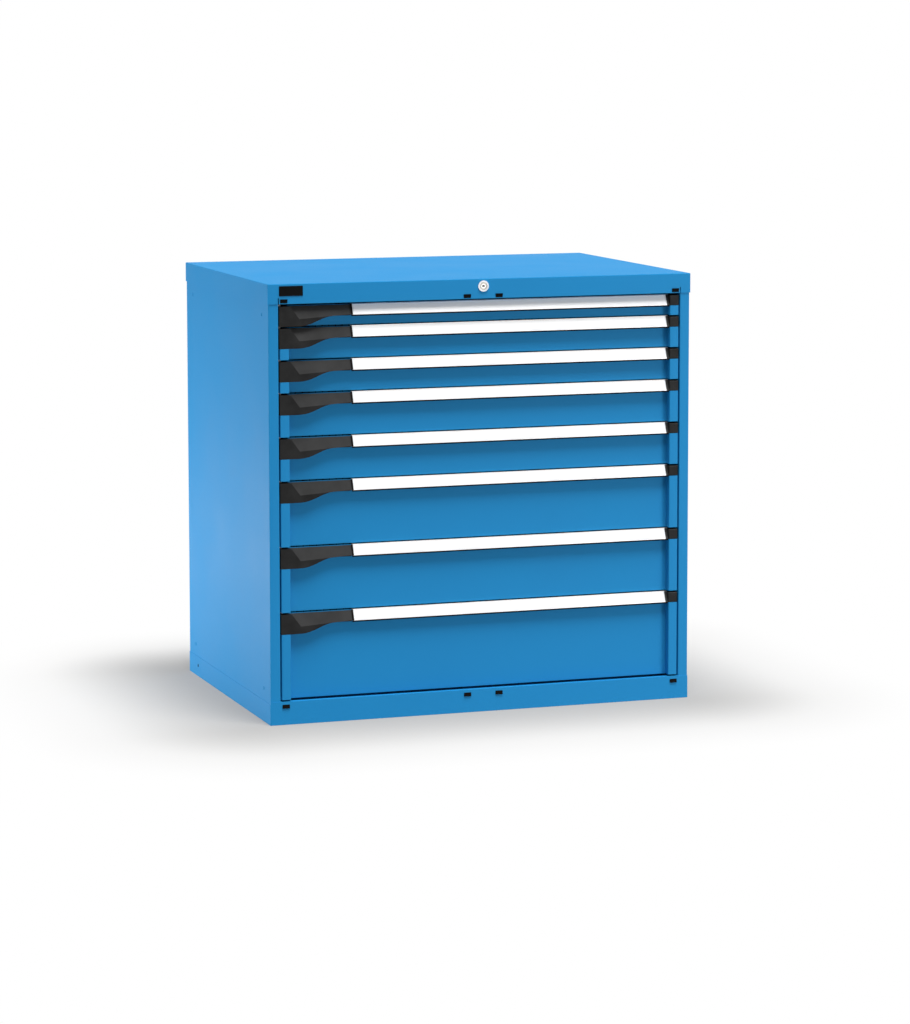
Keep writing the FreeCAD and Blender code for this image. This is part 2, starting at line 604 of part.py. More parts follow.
def handle(top):
    """Extruded section: slanted face with the label channel, rounded lower edge, flange on the panel."""
    ridge = (FRONT + HANDLE_TOP_DEPTH, top - HANDLE_TOP)
    edge = (FRONT + HANDLE_LIP_DEPTH, top - HANDLE_BOTTOM)
    down = direction(ridge, edge)
    length = hypot(edge[0] - ridge[0], edge[1] - ridge[1])
    wall, bead = HANDLE_WALL, length - HANDLE_LIP

    def at(along, deep):
        """Point of the section: distance down the slanted face, and depth behind it."""
        return ridge[0] + down[0] * along - down[1] * deep, ridge[1] + down[1] * along + down[0] * deep

    panel, flange = FRONT + RECESS, FRONT + RECESS - wall
    points = [
        (panel, top - HANDLE_TOP), at(0, 0), at(wall, 0), at(wall, LABEL_RECESS), at(bead, LABEL_RECESS),
        at(bead, 0), at(length, 0), at(length, HANDLE_BEAD), at(bead, HANDLE_BEAD),
        at(bead - wall, wall + LABEL_RECESS), at(2 * wall, wall + LABEL_RECESS),
        (flange, top - HANDLE_TOP - wall), (flange, top - HANDLE_FLANGE), (panel, top - HANDLE_FLANGE)]
    radii = [0.0] * len(points)
    radii[6] = HANDLE_EDGE
    return prism("x", HANDLE_LEFT, RECESS_X, points, radii)


def before_facet(top, shift, low, high):
    """Everything in front of the handle's slanted plane, between two depths below the pitch line."""
    def on_plane(drop):
        return FRONT + FACET_AT_TOP + shift - FACET_SLOPE * drop, top - drop

    air = FRONT - FACET_SLOPE * low
    return prism("x", GRIP_LEFT - 5, GRIP_RIGHT + 5, [
        (air, top - high), on_plane(high), on_plane(low), (air, top - low)])


def grip_outline(top):
    """Front view of the grip, with its S-shaped underside."""
    left, right = GRIP_LEFT, GRIP_RIGHT
    head, foot, waist = top - GRIP_TOP, top - GRIP_BOTTOM, top - GRIP_WAIST
    start, end = left + GRIP_CURVE[0], left + GRIP_CURVE[1]
    ease = GRIP_EASE * (end - start)
    path = [(end, waist), (right, waist), (right, head), (left, head), (left, foot), (start, foot)]
    corners = [place("y", FRONT, point) for point in path]
    edges = [Part.LineSegment(a, b).toShape() for a, b in zip(corners, corners[1:])]
    curve = Part.BezierCurve()
    curve.setPoles([place("y", FRONT, point) for point in (
        (start, foot), (start + ease, foot), (end - ease, waist), (end, waist))])
    return edges + [curve.toShape()]


def thumb_facet(top):
    """What the slanted facet and the label-side fall-back take off the grip's front."""
    edge_top, edge_foot = GRIP_LEFT + FACET_EDGE[0], GRIP_LEFT + FACET_EDGE[1]
    foot_drop = FACET_AT_TOP / FACET_SLOPE
    lean = (edge_foot - edge_top) / (foot_drop - GRIP_TOP)
    beyond = GRIP_RIGHT + 5
    right_of_edge = prism("y", FRONT - 10, FRONT + RECESS + 10, [
        (edge_top - lean * GRIP_TOP, top), (edge_foot, top - foot_drop), (beyond, top - foot_drop),
        (beyond, top)])
    slanted = before_facet(top, 0.0, 0.0, foot_drop).common(right_of_edge)
    fall = GRIP_FALL_BACK * (beyond - edge_foot) / (GRIP_RIGHT - edge_foot)
    fall_back = prism("z", top - GRIP_BOTTOM - 5, top, [
        (edge_foot, FRONT), (edge_foot, FRONT - 5), (beyond, FRONT - 5), (beyond, FRONT + fall)])
    return [slanted, fall_back]


def grip(top):
    """Moulded grip: flat end block, thumb facet in line with the label, S-shaped underside, hollow back
    with a snap-in notch at each end for the latch's pin."""
    block = pushed(grip_outline(top), "y", RECESS)
    left_rim = [e for e in block.Edges if e.BoundBox.XMax < GRIP_LEFT + 0.1 and e.BoundBox.YMin < FRONT + 1]
    block = block.makeChamfer(EDGE_CHAMFER, left_rim)
    hollow = box((GRIP_LEFT + GRIP_WALL, GRIP_RIGHT - GRIP_WALL),
                 (FRONT + GRIP_WALL + GRIP_FALL_BACK, FRONT + RECESS + 1),
                 (top - GRIP_BOTTOM - 1, top - GRIP_TOP - GRIP_WALL))
    hollow = hollow.cut(before_facet(top, FACET_WALL, -1.0, GRIP_BOTTOM + 2))
    pivot_y, pivot_z = FRONT + LATCH_PIVOT[0], top - LATCH_PIVOT[1]
    snug = PIN_RADIUS + RUNNING_FIT
    notches = box((GRIP_LEFT + GRIP_WALL / 2, GRIP_RIGHT - GRIP_WALL / 2),
                  (pivot_y - snug, FRONT + RECESS + 1), (pivot_z - snug, pivot_z + snug))
    shell = block.cut(thumb_facet(top) + [hollow, notches])
    top_plate = HANDLE_TOP_DEPTH + NECK_INSET
    neck = prism("x", GRIP_RIGHT - GRIP_WALL / 2, HANDLE_LEFT, [
        (FRONT + top_plate, top - GRIP_TOP), (FRONT + RECESS, top - GRIP_TOP),
        (FRONT + RECESS, top - GRIP_TOP - GRIP_WALL),
        (FRONT + top_plate + GRIP_WALL - FACET_SLOPE * GRIP_WALL, top - GRIP_TOP - GRIP_WALL),
        (FRONT + HANDLE_LIP_DEPTH + NECK_INSET + GRIP_WALL, top - GRIP_WAIST + 1),
        (FRONT + HANDLE_LIP_DEPTH + NECK_INSET, top - GRIP_WAIST + 1)])
    return joined(shell, neck)


def end_cap(top):
    """Hollow cap that closes the handle's right end, flat in the front plane."""
    x, z = (RECESS_X, FRONT_X), (top - CAP_BOTTOM, top - CAP_TOP)
    cap = box(x, (FRONT, FRONT + PANEL_BACK), z)
    cap = cap.makeChamfer(EDGE_CHAMFER, [e for e in cap.Edges if e.BoundBox.YMax < FRONT + 0.1])
    room = box((x[0] + CAP_WALL, x[1] - CAP_WALL), (FRONT + CAP_WALL, FRONT + PANEL_BACK + 1),
               (z[0] + CAP_WALL, z[1] - CAP_WALL))
    return cap.cut(room)


def latch(top):
    """Moulded lever inside the grip: eight-sided pin that snaps into the notches, rounded hub, finger
    plate below, arm and nose to the back."""
    y, z = FRONT + LATCH_PIVOT[0], top - LATCH_PIVOT[1]
    arm_x = latch_arm_span()
    end = GRIP_WALL / 2 + PIN_END_PLAY
    pin = prism("x", GRIP_LEFT + end, GRIP_RIGHT - end, even_sided((y, z), PIN_RADIUS, PIN_SIDES))
    foot = (FRONT + LATCH_FOOT[0], top - LATCH_FOOT[1])
    way = direction((y, z), foot)
    across = (way[1] * LATCH_PLATE / 2, -way[0] * LATCH_PLATE / 2)
    hub = LATCH_HUB
    plate = prism("x", arm_x[0], GRIP_LEFT + LATCH_PLATE_RIGHT, [
        (y - hub, z + hub), (y - hub, z), (foot[0] + across[0], foot[1] + across[1]),
        (foot[0] - across[0], foot[1] - across[1]), (y + hub, z - hub), (y + hub, z + hub)],
        [hub, 0, 0, 0, 0, hub])
    nose_front = FRONT + lug_front() + LUG[0] + NOSE_PLAY
    nose_back = nose_front + NOSE_LENGTH
    arm_top, nose_top = top - LATCH_ARM_TOP, top - NOSE_TOP
    arm = prism("x", arm_x[0], arm_x[1], [
        (y - hub, z), (y - hub, arm_top - LATCH_ARM), (nose_back, arm_top - LATCH_ARM),
        (nose_back, nose_top - NOSE_CHAMFER), (nose_back - NOSE_CHAMFER, nose_top), (nose_front, nose_top),
        (nose_front, arm_top), (y + hub, arm_top), (y + hub, z)])
    return joined(pin, plate, arm)


# Lock train

def lock_case():
    """Chromed rosette in one piece with the six-sided body that can't turn in the cover band."""
    seat = V(LOCK_X, COVER_FRONT, LOCK_Z)
    rosette = Part.makeCone(ROSETTE_RADIUS, ROSETTE_FACE, LOCK_PROUD, seat, V(0, -1, 0))
    back = COVER_FRONT + LOCK_BODY_LENGTH
    body = prism("y", COVER_FRONT - LOCK_PROUD / 2, back,
                 even_sided((LOCK_X, LOCK_Z), LOCK_BODY_RADIUS, LOCK_BODY_SIDES))
    bore = rod("y", COVER_FRONT - LOCK_PROUD - 1, back + 1, (LOCK_X, LOCK_Z), BARREL_RADIUS + RUNNING_FIT)
    return joined(rosette, body).cut(bore)


def crank_pin_at(angle):
    """Centre of the crank pin, left of the shaft; negative angles are below it."""
    return LOCK_X - CRANK_THROW * cos(radians(angle)), LOCK_Z + CRANK_THROW * sin(radians(angle))


def lock_barrel():
    """Key barrel, the long shaft under the cover, and the crank at its back end."""
    centre = (LOCK_X, LOCK_Z)
    face, back = COVER_FRONT - LOCK_PROUD + BARREL_SUNK, COVER_FRONT + LOCK_BODY_LENGTH
    slot = box((LOCK_X - KEY_SLOT[0] / 2, LOCK_X + KEY_SLOT[0] / 2), (face - 1, face + KEY_SLOT[2]),
               (LOCK_Z - KEY_SLOT[1] / 2, LOCK_Z + KEY_SLOT[1] / 2))
    barrel = rod("y", face, back, centre, BARREL_RADIUS).cut(slot)
    shaft = rod("y", back - 1, CRANK_Y + CRANK_SHEET, centre, SHAFT_RADIUS)
    pin = crank_pin_at(-CRANK_TURN / 2)
    way = direction(centre, pin)
    half = SHAFT_RADIUS + CRANK_EDGE

    def at(along, across):
        return (LOCK_X + way[0] * along - way[1] * across, LOCK_Z + way[1] * along + way[0] * across)

    tip = CRANK_THROW + CRANK_PIN_RADIUS + CRANK_EDGE
    corners = [at(-half, half), at(-half, -half), at(tip, -half), at(tip, half)]
    arm = prism("y", CRANK_Y, CRANK_Y + CRANK_SHEET, corners)
    pin_end = BAR_Y + BAR_THICKNESS + CRANK_EDGE
    crank_pin = rod("y", CRANK_Y + CRANK_SHEET / 2, pin_end, pin, CRANK_PIN_RADIUS)
    return joined(barrel, shaft, arm, crank_pin)


def lock_bar():
    """Vertical bar: the crank lifts it, and a tongue rises into the striker of each drawer."""
    y = (BAR_Y, BAR_Y + BAR_THICKNESS)
    pin_x, pin_z = crank_pin_at(-CRANK_TURN / 2)
    slot_half = CRANK_PIN_RADIUS + PIN_PLAY
    slot_x = (LOCK_X - CRANK_THROW - slot_half, pin_x + slot_half)
    head_z = (pin_z - slot_half - HEAD_WALL, pin_z + slot_half + HEAD_WALL)
    head = box((slot_x[0] - HEAD_WALL, LOCK_X), y, head_z)
    slot = box(slot_x, (y[0] - 1, y[1] + 1), (pin_z - slot_half, pin_z + slot_half))
    tongues = []
    for low, top in drawer_levels():
        tongue_top = low + STRIKER_LIFT - PEG_GAP
        arm_top = low + STRIKER_LIFT - BAR_RISE - STRIKER[2]
        arm_foot = arm_top - BAR_THICKNESS
        near, far = PEG_Y - PEG[1] / 2, PEG_Y + PEG[1] / 2
        weld = BAR_Y + BAR_THICKNESS / 4
        tongues.append(prism("x", LOCK_X - PEG[0] / 2, LOCK_X + PEG[0] / 2, [
            (weld, arm_foot), (near, arm_foot), (near, tongue_top), (far, tongue_top), (far, arm_top),
            (weld, arm_top)]))
    bar = box((LOCK_X - BAR_WIDTH / 2, LOCK_X + BAR_WIDTH / 2), y, (arm_foot - BAR_FOOT, head_z[1]))
    return joined(joined(bar, head).cut(slot), *tongues)


def solids_of(shape):
    if isinstance(shape, list):
        return [solid for piece in shape for solid in piece.Solids]
    return shape.Solids


def save(name, shape):
    solids = solids_of(shape)
    whole = solids[0] if len(solids) == 1 else Part.makeCompound(solids)
    whole.exportStep("parts/" + name + ".step")
    print(name, "solids", len(solids), "volume", round(whole.Volume / 1000, 1), "cm3")


def build():
    os.makedirs("parts", exist_ok=True)
    save("top_cover", top_cover())
    save("right_side", right_side())
    save("left_side", mirrored(right_side()))
    save("back_panel", back_panel())
    save("base_pan", base_pan())
    save("uprights", uprights())
    save("cabinet_rails", cabinet_rails())
    save("slot_plugs", slot_plugs())
    save("lock_case", lock_case())
    save("lock_barrel", lock_barrel())
    save("lock_bar", lock_bar())
    for number, (low, top) in enumerate(drawer_levels(), 1):
        name = "drawer_" + str(number)
        save(name + "_tray", tray(low, top))
        save(name + "_front", front(low, top))
        save(name + "_handle", handle(top))
        save(name + "_handle_ends", [grip(top), end_cap(top)])
        save(name + "_latch", latch(top))
        save(name + "_carriage", carriage(low))


build()
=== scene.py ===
# %% [markdown]
# # A drawer cabinet, dressed for its picture
# The real cabinet is folded sheet steel under a fine structured powder coat, with eight drawers on
# telescopic runners, black moulded grips and white label strips. All of it could be modelled again in
# Blender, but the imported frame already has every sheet, fold, rail and lever in its true size. So the
# work here is finish and small trim: paint, plastic, metal, labels, rivets and light. The frame is
# loaded first, because every piece takes its place from it.

# %% Load the frame
import math

import bmesh
import bpy
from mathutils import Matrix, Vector


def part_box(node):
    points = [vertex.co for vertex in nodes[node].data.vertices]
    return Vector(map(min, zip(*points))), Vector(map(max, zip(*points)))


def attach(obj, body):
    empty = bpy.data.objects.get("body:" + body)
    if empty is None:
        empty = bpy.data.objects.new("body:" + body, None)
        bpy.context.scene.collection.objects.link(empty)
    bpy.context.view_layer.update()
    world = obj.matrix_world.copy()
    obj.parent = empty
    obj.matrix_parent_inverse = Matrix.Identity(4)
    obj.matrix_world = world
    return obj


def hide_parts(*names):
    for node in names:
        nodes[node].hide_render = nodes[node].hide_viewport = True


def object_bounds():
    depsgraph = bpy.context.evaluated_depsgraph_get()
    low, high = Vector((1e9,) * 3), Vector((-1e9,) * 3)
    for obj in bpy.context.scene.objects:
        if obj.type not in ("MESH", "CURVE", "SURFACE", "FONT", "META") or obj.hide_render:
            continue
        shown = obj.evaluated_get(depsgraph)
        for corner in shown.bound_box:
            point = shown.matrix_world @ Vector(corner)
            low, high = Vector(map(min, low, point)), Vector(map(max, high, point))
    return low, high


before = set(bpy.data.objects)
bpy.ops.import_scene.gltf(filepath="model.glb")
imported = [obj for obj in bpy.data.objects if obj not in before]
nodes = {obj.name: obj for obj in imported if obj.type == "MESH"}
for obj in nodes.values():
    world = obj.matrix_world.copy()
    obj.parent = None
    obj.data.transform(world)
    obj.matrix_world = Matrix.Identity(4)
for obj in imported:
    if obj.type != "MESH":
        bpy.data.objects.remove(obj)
cad_low, cad_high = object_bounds()
print("cabinet box in metres:", [round(v, 4) for v in (*cad_low, *cad_high)])

# %% [markdown]
# ## Where the camera stands
# The picture shows the front, the left side and a little of the top. A camera could be placed by eye,
# but then every later comparison would be a guess. The corners of the cover and of the base were matched
# to a pinhole camera instead. That gives its distance, its angle, and the point where the axis of the
# lens meets the picture, in pixels. The point lies off the middle, so the lens is shifted by the
# difference. The three helpers serve the camera here, and the pieces and lamps later.

# %% Camera
FRAME_WIDTH, FRAME_HEIGHT = 910, 1024
AXIS_X, AXIS_Y = 490, 400
FOCAL_PIXELS = 3595.2
SENSOR = 36.0
DISTANCE = 8.6344
AIM = Vector((0.1438, 0.00125, 0.6817))


def outward(azimuth, elevation):
    """The way out from the cabinet, in degrees round from its front and up from the floor."""
    turn, rise = math.radians(azimuth), math.radians(elevation)
    return Vector((math.sin(turn) * math.cos(rise), -math.cos(turn) * math.cos(rise), math.sin(rise)))


def in_scene(name, data):
    thing = bpy.data.objects.new(name, data)
    bpy.context.scene.collection.objects.link(thing)
    return thing


def look_along(thing, way):
    """Turn a camera or a lamp, which looks along its own -Z axis."""
    thing.rotation_mode = "QUATERNION"
    thing.rotation_quaternion = way.to_track_quat("-Z", "Y")


away = outward(-19.38, 6.32)
camera = in_scene("camera", bpy.data.cameras.new("camera"))
camera.location = AIM + away * DISTANCE
look_along(camera, -away)
camera.data.sensor_width = SENSOR
camera.data.lens = FOCAL_PIXELS / FRAME_HEIGHT * SENSOR
camera.data.shift_x = (FRAME_WIDTH / 2 - AXIS_X) / FRAME_HEIGHT
camera.data.shift_y = (AXIS_Y - FRAME_HEIGHT / 2) / FRAME_HEIGHT
camera.data.clip_start, camera.data.clip_end = 0.1, 100.0
bpy.context.scene.camera = camera
print("lens in mm:", round(camera.data.lens, 1))

# %% [markdown]
# ## Building materials from nodes
# A finish is more than a colour. Powder coat has a fine grain that scatters the light, plastic has a
# spark-eroded skin, and metal shows the direction it was drawn in. Photographs of such surfaces could be
# wrapped round the pieces. Nodes are used instead, because noise in an object's own coordinates has no
# seams, comes at its true scale, and sits still on its sheet when a drawer moves. A few helpers keep the
# node graphs short.

# %% Node helpers
def new_material(name):
    material = bpy.data.materials.new(name)
    material.use_nodes = True
    return material, material.node_tree, material.node_tree.nodes["Principled BSDF"]


def add(tree, kind, inputs=(), **settings):
    """One node, with its settings made and its inputs filled in or linked."""
    node = tree.nodes.new(kind)
    for key, value in settings.items():
        setattr(node, key, value)
    for key, value in dict(inputs).items():
        if isinstance(value, bpy.types.NodeSocket):
            tree.links.new(value, node.inputs[key])
        else:
            node.inputs[key].default_value = value
    return node


print("made: new_material and add")

# %% Arithmetic and places
def calc(tree, operation, *values):
    """One step of arithmetic. Each value is a number or another node's output."""
    return add(tree, "ShaderNodeMath", enumerate(values), operation=operation).outputs[0]


def split(tree, vector):
    """The X, Y and Z outputs of a place or a direction."""
    return add(tree, "ShaderNodeSeparateXYZ", {"Vector": vector}).outputs


def length_of(tree, first, second):
    """How long two distances at right angles are together."""
    flat = add(tree, "ShaderNodeCombineXYZ", {"X": first, "Y": second}).outputs[0]
    return add(tree, "ShaderNodeVectorMath", {0: flat}, operation="LENGTH").outputs["Value"]


def place_of(tree):
    return add(tree, "ShaderNodeTexCoord").outputs["Object"]


def facing_of(tree):
    """Which way the surface faces: the parts of its normal."""
    return split(tree, add(tree, "ShaderNodeNewGeometry").outputs["Normal"])


def link(tree, output, shader, name):
    tree.links.new(output, shader.inputs[name])


print("made: calc, split, length_of, place_of, facing_of and link")

# %% [markdown]
# ## Patterns and colours
# Grain, wear and drift all start as the same soft noise, and differ only in scale and in what they are
# stretched to. Colours could be typed as Blender's linear numbers, but a maker reads them off a screen
# from 0 to 255. One helper converts them, so the colours below can be checked against a paint chip.

# %% Pattern helpers
def noise(tree, where, scale, detail=2.0, roughness=0.5):
    return add(tree, "ShaderNodeTexNoise", {"Vector": where, "Scale": scale, "Detail": detail,
                                            "Roughness": roughness}).outputs["Fac"]


def ramp(tree, value, start, end, low, high, **settings):
    """Turn the range start..end of a value into the range low..high."""
    return add(tree, "ShaderNodeMapRange", {"Value": value, "From Min": start, "From Max": end,
                                            "To Min": low, "To Max": high},
               **settings).outputs["Result"]


def spread(tree, value, low, high):
    """Stretch a noise, which seldom leaves 0.3 to 0.7, to the range low..high."""
    return ramp(tree, value, 0.3, 0.7, low, high)


def bump(tree, height, strength, distance):
    return add(tree, "ShaderNodeBump", {"Height": height, "Strength": strength,
                                        "Distance": distance}).outputs["Normal"]


print("made: noise, ramp, spread and bump")

# %% Colour helpers
def blend_colours(tree, share, first, second):
    return add(tree, "ShaderNodeMix", {0: share, 6: first, 7: second}, data_type="RGBA").outputs[2]


def paint_over(material, share, colour):
    """Lay a second colour over a material's own, as far as the share goes from 0 to 1."""
    tree = material.node_tree
    base = tree.nodes["Principled BSDF"].inputs["Base Color"]
    below = base.links[0].from_socket
    tree.links.new(blend_colours(tree, share, below, colour), base)


def rgb(red, green, blue):
    """A colour as a screen shows it, 0 to 255, turned into the linear light that shaders use."""
    def linear(value):
        value /= 255
        return value / 12.92 if value <= 0.04045 else ((value + 0.055) / 1.055) ** 2.4
    return (linear(red), linear(green), linear(blue), 1.0)


def grey(value):
    return rgb(value, value, value)


print("orange test, linear:", [round(v, 3) for v in rgb(255, 128, 0)])

# %% [markdown]
# ## Powder coat
# The coat is sprayed as dry powder and melted in an oven. It comes out as a skin with a fine, even
# texture of about a millimetre and a soft sheen. A plain colour would look like card, so two noises make
# it: a fine one for the grain, and a slow one for the slight drift of colour and gloss over a large
# sheet. On a folded edge the coat draws thin. A bevel node rounds the shading there by a bend's radius,
# and where that differs from the true surface, the mask paints a lighter line: a painted highlight along
# the fold.

# %% Powder coat material
GRAIN_SCALE, DRIFT_SCALE = 1100.0, 5.0
FOLD_RADIUS = 0.0022
FLAT_SHEET, SHARP_FOLD = 0.995, 0.90
DRIFT_SHARE, FOLD_HIGHLIGHT_SHARE = 0.22, 0.5
COAT_SHEEN, COAT_ROUGH = 0.2, 0.62


def powder_coat(name, base, pale):
    material, tree, shader = new_material(name)
    where = place_of(tree)
    grain = noise(tree, where, GRAIN_SCALE, detail=3.0, roughness=0.6)
    drift = noise(tree, where, DRIFT_SCALE)
    rounded = add(tree, "ShaderNodeBevel", {"Radius": FOLD_RADIUS}, samples=4).outputs["Normal"]
    true = add(tree, "ShaderNodeNewGeometry").outputs["Normal"]
    alike = add(tree, "ShaderNodeVectorMath", {0: rounded, 1: true},
                operation="DOT_PRODUCT").outputs["Value"]
    # painted highlight: folds are paled where the rounded and the true normals differ
    fold_highlight = ramp(tree, alike, FLAT_SHEET, SHARP_FOLD, 0.0, FOLD_HIGHLIGHT_SHARE)
    body = blend_colours(tree, spread(tree, drift, 0.0, DRIFT_SHARE), base, pale)
    link(tree, blend_colours(tree, fold_highlight, body, pale), shader, "Base Color")
    link(tree, spread(tree, drift, COAT_ROUGH - 0.03, COAT_ROUGH + 0.04), shader, "Roughness")
    link(tree, bump(tree, grain, strength=0.35, distance=0.0004), shader, "Normal")
    shader.inputs["Specular IOR Level"].default_value = COAT_SHEEN
    return material


CASE_BLUE = powder_coat("case_powder_coat", rgb(25, 135, 196), rgb(34, 143, 203))
DRAWER_BLUE = powder_coat("drawer_powder_coat", rgb(25, 134, 195), rgb(34, 142, 202))
print("powder coats:", CASE_BLUE.name, DRAWER_BLUE.name)

# %% [markdown]
# ## Black mouldings
# Grips, end caps and plugs are glass-filled nylon, and the plate on the cover is black enamel. The skin
# is spark-eroded in the mould: a fine leather-like grain that kills reflections. Carved into the mesh it
# would take millions of faces, so cells of half a millimetre give it as a bump. A slow noise turns the
# black slightly greyer where hands rub it, and the facets that look up are painted greyer still, as painted
# light from above.

# %% Moulded plastic material
CELL_SCALE, RUB_SCALE = 1900.0, 22.0
UPRIGHT_FACE, UPWARD_FACE = 0.15, 0.35
RUB_SHARE, TOP_LIGHT_SHARE = 0.4, 0.6


def moulded_plastic(name, base, worn_and_lit, rough, gloss):
    material, tree, shader = new_material(name)
    where = place_of(tree)
    cells = add(tree, "ShaderNodeTexVoronoi", {"Vector": where, "Scale": CELL_SCALE}).outputs["Distance"]
    rub = noise(tree, where, RUB_SCALE, detail=3.0)
    # painted light: facets that look up are made greyer, as light from above would make them
    lit_from_above = ramp(tree, facing_of(tree)["Z"], UPRIGHT_FACE, UPWARD_FACE, 0.0, TOP_LIGHT_SHARE)
    share = calc(tree, "ADD", spread(tree, rub, 0.0, RUB_SHARE), lit_from_above)
    link(tree, blend_colours(tree, share, base, worn_and_lit), shader, "Base Color")
    link(tree, spread(tree, rub, rough + 0.05, rough - 0.05), shader, "Roughness")
    link(tree, bump(tree, cells, strength=0.3, distance=0.0003), shader, "Normal")
    shader.inputs["Specular IOR Level"].default_value = gloss
    return material


GRIP_BLACK = moulded_plastic("grip_nylon", grey(15), grey(49), rough=0.52, gloss=0.15)
PLUG_BLACK = moulded_plastic("plug_nylon", rgb(6, 5, 5), rgb(20, 15, 13), rough=0.6, gloss=0.05)
PLATE_BLACK = moulded_plastic("plate_enamel", grey(8), grey(13), rough=0.45, gloss=0.05)
print("black finishes:", GRIP_BLACK.name, PLUG_BLACK.name, PLATE_BLACK.name)

# %% [markdown]
# ## Bare metals
# Rails and uprights are zinc-plated, a pale bluish grey with crystal flakes. The handle is drawn
# aluminium, so its fine lines run along the bar. The lock is chromed, and its barrel is nickel plated.
# Each could have a graph of its own, but they differ only in numbers, so one recipe serves them all. A
# noise squeezed across the working direction gives the lines, and where the flake scale is zero, the
# flakes are left out.

# %% Worked metal
MARK_SCALE = 30.0
LINE_SHARE, FLAKE_SHARE = 0.5, 0.35


def worked_metal(name, colour, dull, rough, line_scale, flake_scale=0.0):
    material, tree, shader = new_material(name)
    where = place_of(tree)
    squeezed = add(tree, "ShaderNodeVectorMath", {0: where, 1: line_scale},
                   operation="MULTIPLY").outputs["Vector"]
    lines = noise(tree, squeezed, 1.0, detail=3.0)
    marks = noise(tree, where, MARK_SCALE, detail=3.0)
    body = blend_colours(tree, spread(tree, lines, 0.0, LINE_SHARE), colour, dull)
    if flake_scale:
        flakes = add(tree, "ShaderNodeTexVoronoi", {"Vector": where, "Scale": flake_scale}).outputs["Color"]
        tone = add(tree, "ShaderNodeRGBToBW", {"Color": flakes}).outputs["Val"]
        body = blend_colours(tree, spread(tree, tone, 0.0, FLAKE_SHARE), body, dull)
    link(tree, body, shader, "Base Color")
    link(tree, spread(tree, marks, rough - 0.04, rough + 0.05), shader, "Roughness")
    link(tree, bump(tree, lines, strength=0.15, distance=0.0002), shader, "Normal")
    shader.inputs["Metallic"].default_value = 1.0
    return material


ZINC = worked_metal("zinc_plate", rgb(196, 199, 203), rgb(160, 165, 171), 0.38, (300, 40, 300), 180.0)
CHROME = worked_metal("lock_chrome_plate", rgb(232, 234, 238), rgb(214, 216, 221), 0.16, (900, 900, 900))
print("metals:", ZINC.name, CHROME.name)

# %% [markdown]
# ## The handle's aluminium
# The outside of the handle is bright. Its inside, where the fingers reach, keeps the dull skin of the
# drawing die, and is painted darker still as painted shade, since the faces that look down or back lie
# under the handle. Those faces could be given a second material, which would mean picking them out of the
# frame's mesh. It is simpler to ask each point which way it faces: only the inside looks down or back.

# %% Handle aluminium
LOOKS_DOWN, LOOKS_BACK = -0.3, 0.2


def dull_and_shaded_inside(material, dull_and_shaded):
    facing = facing_of(material.node_tree)
    down = calc(material.node_tree, "LESS_THAN", facing["Z"], LOOKS_DOWN)
    back = calc(material.node_tree, "GREATER_THAN", facing["Y"], LOOKS_BACK)
    # painted shade: faces that look down or back are darkened
    paint_over(material, calc(material.node_tree, "MAXIMUM", down, back), dull_and_shaded)


ALUMINIUM = worked_metal("drawn_aluminium", rgb(226, 227, 228), rgb(204, 205, 207), 0.34, (12, 2600, 2600))
dull_and_shaded_inside(ALUMINIUM, rgb(70, 71, 73))
print("handle metal:", ALUMINIUM.name)

# %% [markdown]
# ## The lock barrel's face
# Seen from the front the barrel is bright, with a duller ring round it, and a key slot that looks black
# because light that goes in doesn't come out. The slot is cut in the frame, but it is so narrow that its
# polished walls would still flash. Its mouth is therefore painted dark, as painted shade, by the distance
# from the barrel's axis: an ellipse for the slot, and a circle for the ring.

# %% Barrel face
RING_START, RING_END = 0.0052, 0.0058
SLOT_REACH, SLOT_SQUEEZE = 0.0038, 1.9


def barrel_face(material, rim, slot_shade):
    tree = material.node_tree
    low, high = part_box("lock_case")
    place = split(tree, place_of(tree))
    across = calc(tree, "SUBTRACT", place["X"], (low.x + high.x) / 2)
    up = calc(tree, "SUBTRACT", place["Z"], (low.z + high.z) / 2)
    ring = ramp(tree, length_of(tree, across, up), RING_START, RING_END, 0.0, 1.0)
    reach = length_of(tree, across, calc(tree, "MULTIPLY", up, SLOT_SQUEEZE))
    paint_over(material, ring, rim)
    # painted shade in the key slot's mouth
    paint_over(material, calc(tree, "LESS_THAN", reach, SLOT_REACH), slot_shade)


NICKEL = worked_metal("lock_nickel_plate", rgb(240, 239, 236), rgb(226, 224, 220), 0.28, (700, 700, 700))
barrel_face(NICKEL, rgb(168, 165, 158), grey(12))
print("key slot in mm:", round(2000 * SLOT_REACH, 1), "x", round(2000 * SLOT_REACH / SLOT_SQUEEZE, 1))

# %% [markdown]
# ## Label card
# Each handle holds a white card under a clear cover that is pushed in from the end. The cover could be a
# glass sheet above the card, which is slow to render and hard to see. The card is matt paper with a
# clear coat layer instead, and that gives the same thin gloss. Fibres show as a very fine mottle, and
# the cover's ends go slightly grey where no card lies under them.

# %% Label material
LABEL_LEFT, LABEL_RIGHT = -0.3100, 0.455
CARD_MARGIN = 0.0032
FIBRE_SCALE = 1500.0


